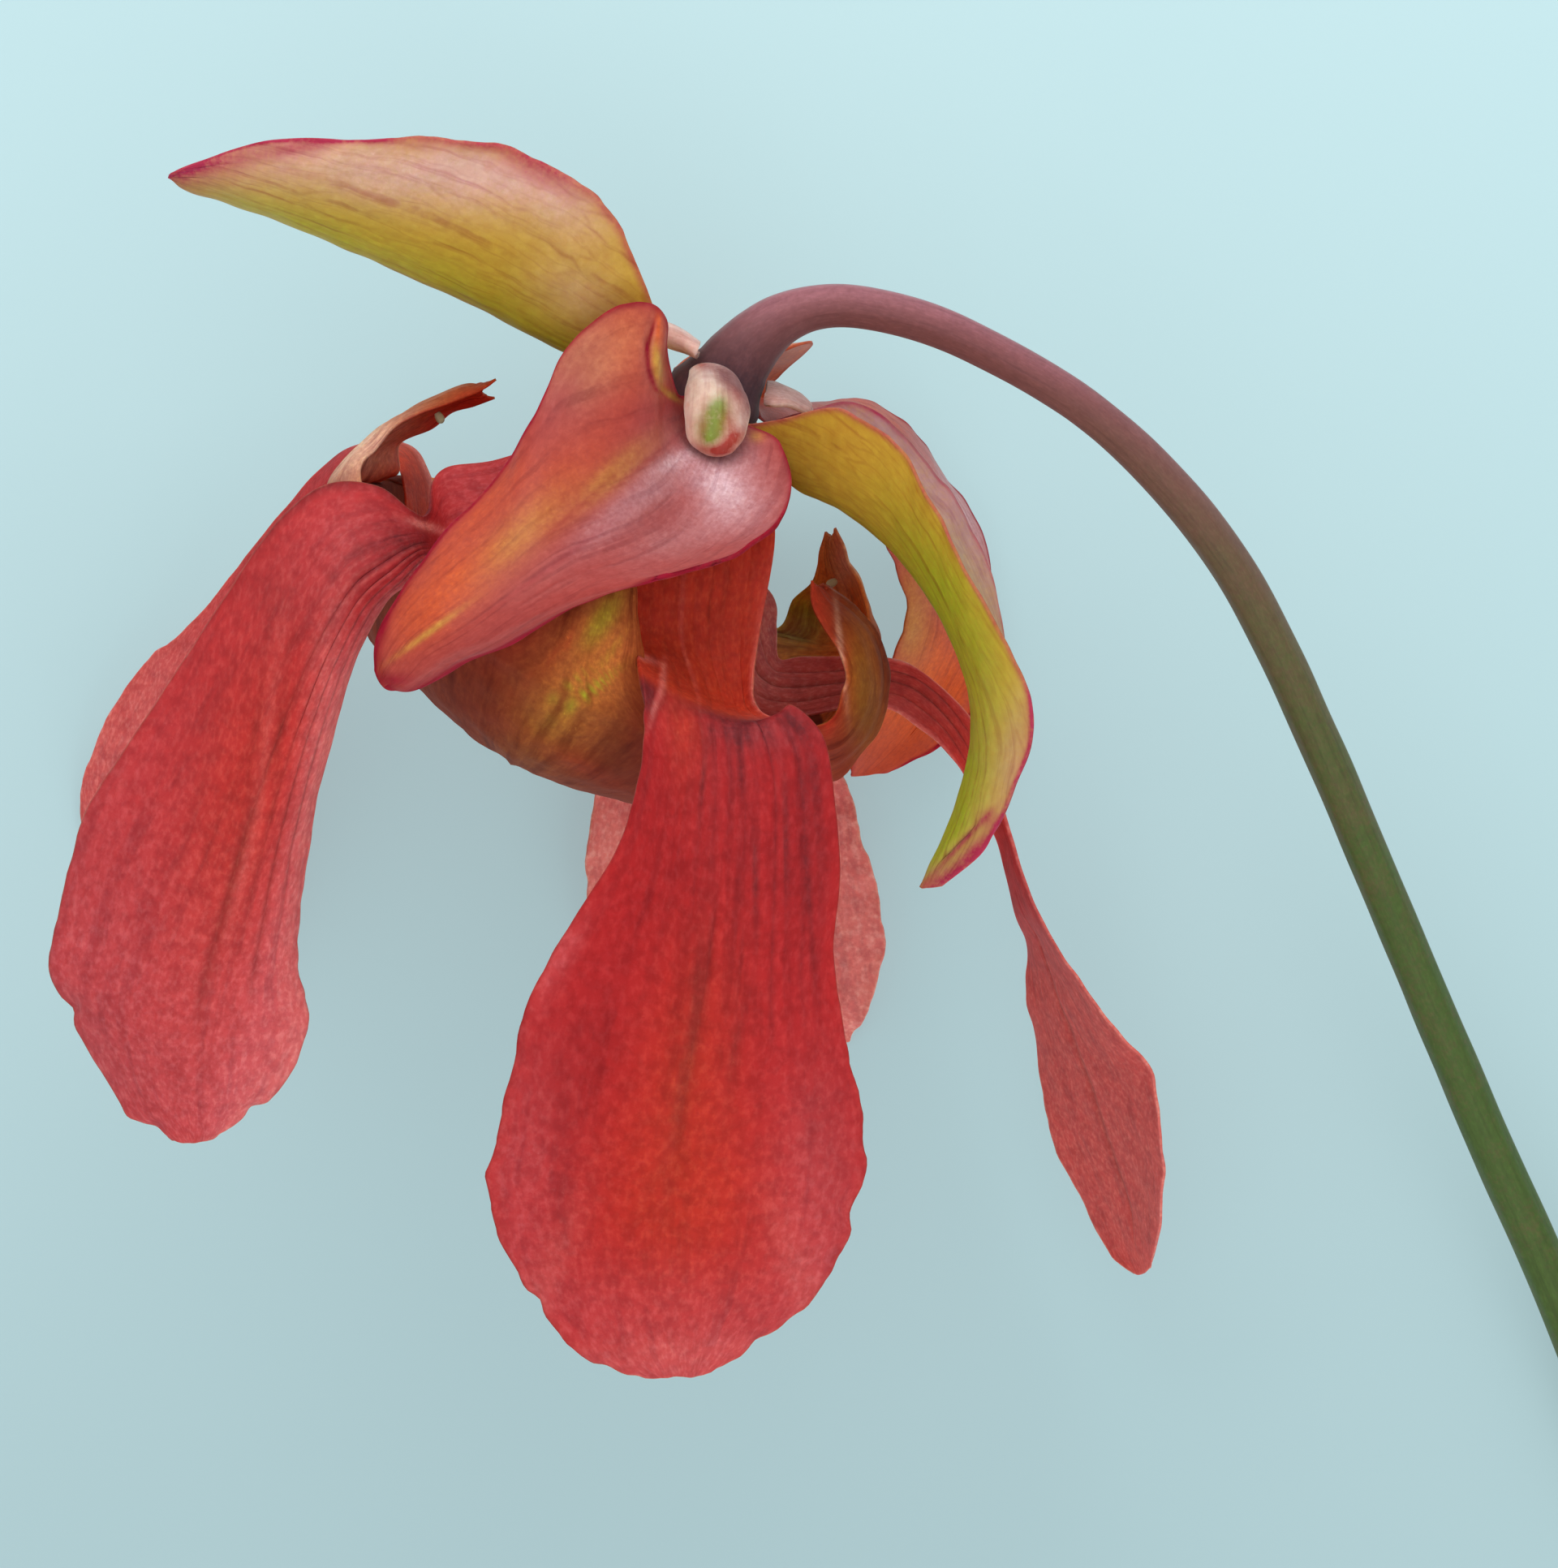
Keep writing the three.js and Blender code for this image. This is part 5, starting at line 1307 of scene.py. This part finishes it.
def make_ovary(skin):
    """Five-lobed ball round the axis: radius 4.1 sin(pi s)^0.8 (1 + 0.07 cos(5 angle)) mm at the
    part s of its depth, with warts on it."""
    rings, sides = 80, 120
    top, bottom = 3.7, 13.8
    s, angle = np.broadcast_arrays(
        np.linspace(0.004, 0.996, rings)[:, None], 360 * np.arange(sides)[None, :] / sides
    )
    radius = 4.1 * np.sin(np.pi * s) ** 0.8 * (1 + 0.07 * np.cos(np.radians(5 * angle)))
    depth = top + (bottom - top) * s
    smooth = around(angle, radius, depth).reshape(-1, 3)
    warts = np.maximum(lumps(smooth, 0.9 * MM, 3), 0).reshape(radius.shape) * 0.16
    place = around(angle, radius + warts * np.sin(np.pi * s), depth).reshape(-1, 3)
    poles = around(np.zeros(2), np.zeros(2), np.array([top, bottom]))
    points = np.concatenate([place, poles])
    zones = np.zeros((len(points), 4))
    zones[:-2, 0] = (warts / 0.3).ravel()
    marks = np.stack([(angle / 360).ravel(), s.ravel()], -1)
    marks = np.concatenate([marks, [[0.5, 0], [0.5, 1]]])
    quads, triangles = grid_quads(rings, sides, wrap=True), end_fans(rings, sides)
    a, b, c, d = (points[quads[0, i]] for i in range(4))
    if np.cross(c - a, d - b) @ (a - poles.mean(0)) < 0:
        quads, triangles = quads[:, ::-1], triangles[:, ::-1]
    make_piece("ovary_grown", "ovary", "ovary", skin, points, quads, triangles, marks, zones)


def make_stamen(skin, number):
    """Thread with a two-lobed anther: a tube whose radius is swollen by 1 + 0.22 cos(2 turns)
    along the sac, and grooved between its lobes."""
    angle = 360 * number / STAMENS
    longer = 1.1 * (number % 3)
    rows = [[3.3, 3.5, 0.22], [4.3, 4.6, 0.22], [5.0, 6.2, 0.2], [5.3, 7.4 + longer, 0.2],
            [5.45, 8.0 + longer, 0.42], [5.5, 9.0 + longer, 0.46], [5.45, 9.9 + longer, 0.28]]
    t = np.linspace(0, 1, 44)
    radius, depth, thick = along(rows, t).T
    path = around(angle + 1.2 * np.sin(5 * t + number), radius, depth)
    sac = soft(t, 0.55, 0.68)[:, None]
    turn = np.arange(16)[None, :] / 16
    swell = 1 + sac * 0.22 * np.cos(4 * np.pi * turn)
    points, quads, triangles, marks = pipe(path, thick * MM, 16, swell)
    zones = np.zeros((len(points), 4))
    zones[:-2, 0] = np.repeat(sac.ravel(), 16)
    name = f"stamen_{number + 1:02d}"
    make_piece(name + "_grown", name, "stamen", skin, points, quads, triangles, marks, zones)


def make_stigma(skin, number, lobe):
    """Peg standing on the inner face of a lobe, 0.85 mm from its keel, with a rounded end."""
    rows = at(np.reshape(lobe["rows"], (-1, 3, 3)))
    k = len(rows) - 3
    keel = rows[k, 1]
    right, left = (rows[k] * row_weights(np.array([0.1, -0.1]))[..., None]).sum(1)
    inward = unit(np.cross(rows[k + 1, 1] - rows[k - 1, 1], right - left))
    if inward @ (around(0, 0, 20) - keel) < 0:
        inward = -inward
    t = np.linspace(0, 1, 30)
    height, radius = along([[0, 0.25], [0.3, 0.36], [0.7, 0.36], [1, 0.2]], t).T
    radius = radius * np.sqrt(np.clip(1 - soft(t, 0.8, 1.05) ** 2, 0.05, 1))
    path = keel + (0.85 + height)[:, None] * MM * inward
    points, quads, triangles, marks = pipe(path, radius * MM, 20)
    name = f"stigma_{number + 1}"
    zones = np.zeros((len(points), 4))
    make_piece(name + "_grown", name, "stigma", skin, points, quads, triangles, marks, zones)


# What a user would change

def colour_of(name, description, red, green, blue):
    """A linear colour property."""
    return FloatVectorProperty(
        name=name, description=description, subtype="COLOR", size=3, min=0, max=1,
        default=(red, green, blue),
    )


def length_of(name, description, metres):
    """A length property in metres."""
    return FloatProperty(name=name, description=description, unit="LENGTH", min=0, default=metres)


class FlowerSizes(PropertyGroup):
    """Wall thicknesses of the grown pieces."""

    petal_wall: length_of("Petal", "Thickness of a petal at its middle", 0.00055)
    sepal_wall: length_of("Sepal", "Thickness of a sepal at its middle", 0.0007)
    bract_wall: length_of("Bract", "Thickness of a bract at its middle", 0.0008)
    umbrella_wall: length_of("Umbrella", "Thickness of the umbrella", 0.0007)
    rim_wall: length_of("Rim", "Thickness of every blade at its margin", 0.00022)


class FlowerColours(PropertyGroup):
    """Base colours of the skins and of the floor."""

    petal: colour_of("Petal", "Blade of a petal", 0.48, 0.019, 0.021)
    green_sepal: colour_of("Green sepal", "Outer face of the two green sepals", 0.62, 0.37, 0.04)
    red_sepal: colour_of("Red sepal", "Outer face of the three red sepals", 0.41, 0.052, 0.043)
    umbrella: colour_of("Umbrella", "Outside of the umbrella", 0.235, 0.034, 0.014)
    scape: colour_of("Scape", "Arch of the scape", 0.195, 0.058, 0.056)
    bract: colour_of("Bract", "Face of a bract", 0.86, 0.52, 0.44)
    ovary: colour_of("Ovary", "Skin of the ovary", 0.33, 0.36, 0.08)
    stamen: colour_of("Stamen", "Thread of a stamen", 0.72, 0.60, 0.28)
    stigma: colour_of("Stigma", "Peg of a stigma", 0.74, 0.66, 0.38)
    floor: colour_of("Floor", "Plain pale floor", 0.33, 0.460, 0.482)


class FLOWER_OT_scape(Operator):
    """Make the arched scape with the receptacle at its end"""

    bl_idname = "flower.scape"
    bl_label = "Scape"

    def execute(self, context):
        colours = context.scene.flower_colours
        make_scape(living_skin("scape_skin", tuple(colours.scape), SCAPE_SKIN))
        return {"FINISHED"}


class FLOWER_OT_bracts(Operator):
    """Make the three bracts behind the sepals"""

    bl_idname = "flower.bracts"
    bl_label = "Bracts"

    def execute(self, context):
        sizes = context.scene.flower_sizes
        skin = living_skin("bract_skin", tuple(context.scene.flower_colours.bract), BRACT_SKIN)
        for name, rows in BRACTS.items():
            base = at(np.reshape(rows[0], (3, 3)))
            blade(
                "bract_" + name, "bract", skin, BRACT_TINTS, base, rows[1:], BRACT_LOOKS[name],
                BRACT_GRID, sizes.bract_wall, sizes.rim_wall,
            )
        return {"FINISHED"}


class FLOWER_OT_sepals(Operator):
    """Make the five sepals"""

    bl_idname = "flower.sepals"
    bl_label = "Sepals"

    def execute(self, context):
        sizes, colours = context.scene.flower_sizes, context.scene.flower_colours
        green = living_skin("green_sepal_skin", tuple(colours.green_sepal), GREEN_SKIN)
        red = living_skin("red_sepal_skin", tuple(colours.red_sepal), RED_SKIN)
        for name, made in SEPALS.items():
            base = rooted(made["angle"], made["turn"], *SEPAL_BASE)
            if name in GREEN_SEPALS:
                slot, skin, tints = "sepal_green", green, GREEN_TINTS
            else:
                slot, skin, tints = "sepal_red", red, RED_TINTS
            blade(
                "sepal_" + name, slot, skin, tints, base, made["rows"], SEPAL_LOOKS[name],
                SEPAL_GRID, sizes.sepal_wall, sizes.rim_wall,
            )
        return {"FINISHED"}


class FLOWER_OT_petals(Operator):
    """Make the five petals"""

    bl_idname = "flower.petals"
    bl_label = "Petals"

    def execute(self, context):
        sizes, colours = context.scene.flower_sizes, context.scene.flower_colours
        skin = living_skin("petal_skin", tuple(colours.petal), PETAL_SKIN)
        for name, made in PETALS.items():
            base = rooted(made["angle"], made["turn"], *PETAL_BASE)
            blade(
                "petal_" + name, "petal", skin, PETAL_TINTS, base, made["rows"], PETAL_LOOKS[name],
                PETAL_GRID, sizes.petal_wall, sizes.rim_wall,
            )
        return {"FINISHED"}


class FLOWER_OT_umbrella(Operator):
    """Make the style column and its five-lobed umbrella"""

    bl_idname = "flower.umbrella"
    bl_label = "Umbrella"

    def execute(self, context):
        colours = context.scene.flower_colours
        skin = living_skin("umbrella_skin", tuple(colours.umbrella), UMBRELLA_SKIN)
        make_umbrella(skin, UMBRELLA_TINTS, context.scene.flower_sizes)
        return {"FINISHED"}


class FLOWER_OT_heart(Operator):
    """Make the ovary, the stamens and the stigmas"""

    bl_idname = "flower.heart"
    bl_label = "Heart"

    def execute(self, context):
        colours = context.scene.flower_colours
        make_ovary(living_skin("ovary_skin", tuple(colours.ovary), HEART_SKIN))
        stamen = living_skin("stamen_skin", tuple(colours.stamen), HEART_SKIN)
        for number in range(STAMENS):
            make_stamen(stamen, number)
        stigma = living_skin("stigma_skin", tuple(colours.stigma), HEART_SKIN)
        for number, lobe in enumerate(LOBES):
            make_stigma(stigma, number, lobe)
        return {"FINISHED"}


GLOW = 0.8  # of the floor, which keeps the shadow on it soft
FLOOR_SPAN = 0.15  # distance in metres, along -Y and along Y, where SHADES are reached
# the floor's colour is painted darker towards -Y and lighter towards Y: a painted falloff of the light
# away from the window
SHADES = (0.69, 1.02)  # of the floor's colour
FLOOR_HALF = 3.0  # half the floor's side, in metres
SKY_COLOUR, SKY_STRENGTH = (0.93, 0.98, 1.0, 1), 0.55
# softboxes: name, place, point looked at, size in metres, power in watts, colour
SOFTBOXES = (
    ("window", (-0.08, 0.42, 0.40), (0, 0.02, 0.02), (0.6, 0.45), 1.7, (1.0, 0.99, 0.97)),
    ("ceiling", (0.15, -0.1, 1.3), (0, 0, 0.02), (1.2, 1.2), 3.2, (1.0, 1.0, 1.0)),
    ("fill", (0.16, -0.42, 0.16), (0, -0.03, 0.02), (0.5, 0.3), 0.8, (1.0, 1.0, 1.0)),
)
SENSOR, LENS = 36.0, 241.07  # of the camera, in mm


def skin_of_floor(tree, shader, colour):
    """Plain pale colour that deepens smoothly towards -Y as painted shade, standing in for the light
    falling off away from the window at +Y, and that glows a little with that colour, which lightens the
    shadows on it.
    """
    place = tree.nodes.new("ShaderNodeTexCoord").outputs["Object"]
    split = tree.nodes.new("ShaderNodeSeparateXYZ")
    tree.links.new(place, split.inputs[0])
    span = tree.nodes.new("ShaderNodeMapRange")
    span.interpolation_type = "SMOOTHSTEP"
    span.inputs[1].default_value = -FLOOR_SPAN
    span.inputs[2].default_value = FLOOR_SPAN
    tree.links.new(split.outputs["Y"], span.inputs[0])
    mix = tree.nodes.new("ShaderNodeMix")
    mix.data_type = "RGBA"
    tree.links.new(span.outputs[0], mix.inputs[0])
    for socket, shade in zip((mix.inputs[6], mix.inputs[7]), SHADES):
        socket.default_value = (*(shade * part for part in colour), 1)
    tree.links.new(mix.outputs[2], shader.inputs["Base Color"])
    tree.links.new(mix.outputs[2], shader.inputs["Emission Color"])
    shader.inputs["Emission Strength"].default_value = GLOW


def softbox(name, place, aim, size, power, colour):
    """A square area light that looks from a place at a point."""
    light = bpy.data.lights.new(name, "AREA")
    light.shape = "RECTANGLE"
    light.size, light.size_y = size
    light.energy = power
    light.color = colour
    lamp = bpy.data.objects.new(name, light)
    lamp.rotation_euler = Vector(np.subtract(aim, place)).to_track_quat("-Z", "Y").to_euler()
    lamp.location = place
    bpy.context.scene.collection.objects.link(lamp)


class FLOWER_OT_stage(Operator):
    """Make the floor, the soft light and the camera"""

    bl_idname = "flower.stage"
    bl_label = "Stage"

    def execute(self, context):
        scene = context.scene
        mesh = bpy.data.meshes.new("floor")
        corners = [(-1, -1, 0), (1, -1, 0), (1, 1, 0), (-1, 1, 0)]
        mesh.from_pydata([[FLOOR_HALF * x for x in corner] for corner in corners], [], [(0, 1, 2, 3)])
        floor = bpy.data.objects.new("floor", mesh)
        scene.collection.objects.link(floor)
        pale = bpy.data.materials.new("pale_floor")
        pale.use_nodes = True
        shader = pale.node_tree.nodes["Principled BSDF"]
        skin_of_floor(pale.node_tree, shader, scene.flower_colours.floor)
        shader.inputs["Roughness"].default_value = 0.9
        shader.inputs["Specular IOR Level"].default_value = 0.1
        mesh.materials.append(pale)
        world = bpy.data.worlds.new("soft_room")
        world.use_nodes = True
        sky = world.node_tree.nodes["Background"]
        sky.inputs["Color"].default_value = SKY_COLOUR
        sky.inputs["Strength"].default_value = SKY_STRENGTH
        scene.world = world
        for light in SOFTBOXES:
            softbox(*light)
        camera = bpy.data.cameras.new("camera")
        camera.sensor_fit = "HORIZONTAL"
        camera.sensor_width = SENSOR
        camera.lens = LENS
        camera.clip_start, camera.clip_end = 0.05, 20
        eye = bpy.data.objects.new("camera", camera)
        eye.location = at((*MIDDLE, LEVEL)) + np.array([0, 0, EYE * MM])
        scene.collection.objects.link(eye)
        scene.camera = eye
        scene.view_settings.view_transform = "Standard"
        return {"FINISHED"}


OPERATORS = (
    FLOWER_OT_scape,
    FLOWER_OT_bracts,
    FLOWER_OT_sepals,
    FLOWER_OT_petals,
    FLOWER_OT_umbrella,
    FLOWER_OT_heart,
    FLOWER_OT_stage,
)


class FLOWER_PT_panel(Panel):
    """Lists the pieces and what they are made from"""

    bl_idname = "FLOWER_PT_panel"
    bl_label = "Pitcher plant flower"
    bl_space_type = "VIEW_3D"
    bl_region_type = "UI"
    bl_category = "Flower"

    def draw(self, context):
        for maker in OPERATORS:
            self.layout.operator(maker.bl_idname)
        for group in (context.scene.flower_sizes, context.scene.flower_colours):
            for key in group.bl_rna.properties.keys():
                if key not in ("rna_type", "name"):
                    self.layout.prop(group, key)


CLASSES = (FlowerSizes, FlowerColours, *OPERATORS, FLOWER_PT_panel)


def register():
    """Adds the classes and hangs the two property groups on the scene."""
    for made in CLASSES:
        bpy.utils.register_class(made)
    bpy.types.Scene.flower_sizes = PointerProperty(type=FlowerSizes)
    bpy.types.Scene.flower_colours = PointerProperty(type=FlowerColours)


def unregister():
    """Takes them off again."""
    del bpy.types.Scene.flower_colours
    del bpy.types.Scene.flower_sizes
    for made in reversed(CLASSES):
        bpy.utils.unregister_class(made)


def main():
    register()
    for maker in OPERATORS:
        group, name = maker.bl_idname.split(".")
        getattr(getattr(bpy.ops, group), name)()


if __name__ == "__main__":
    main()
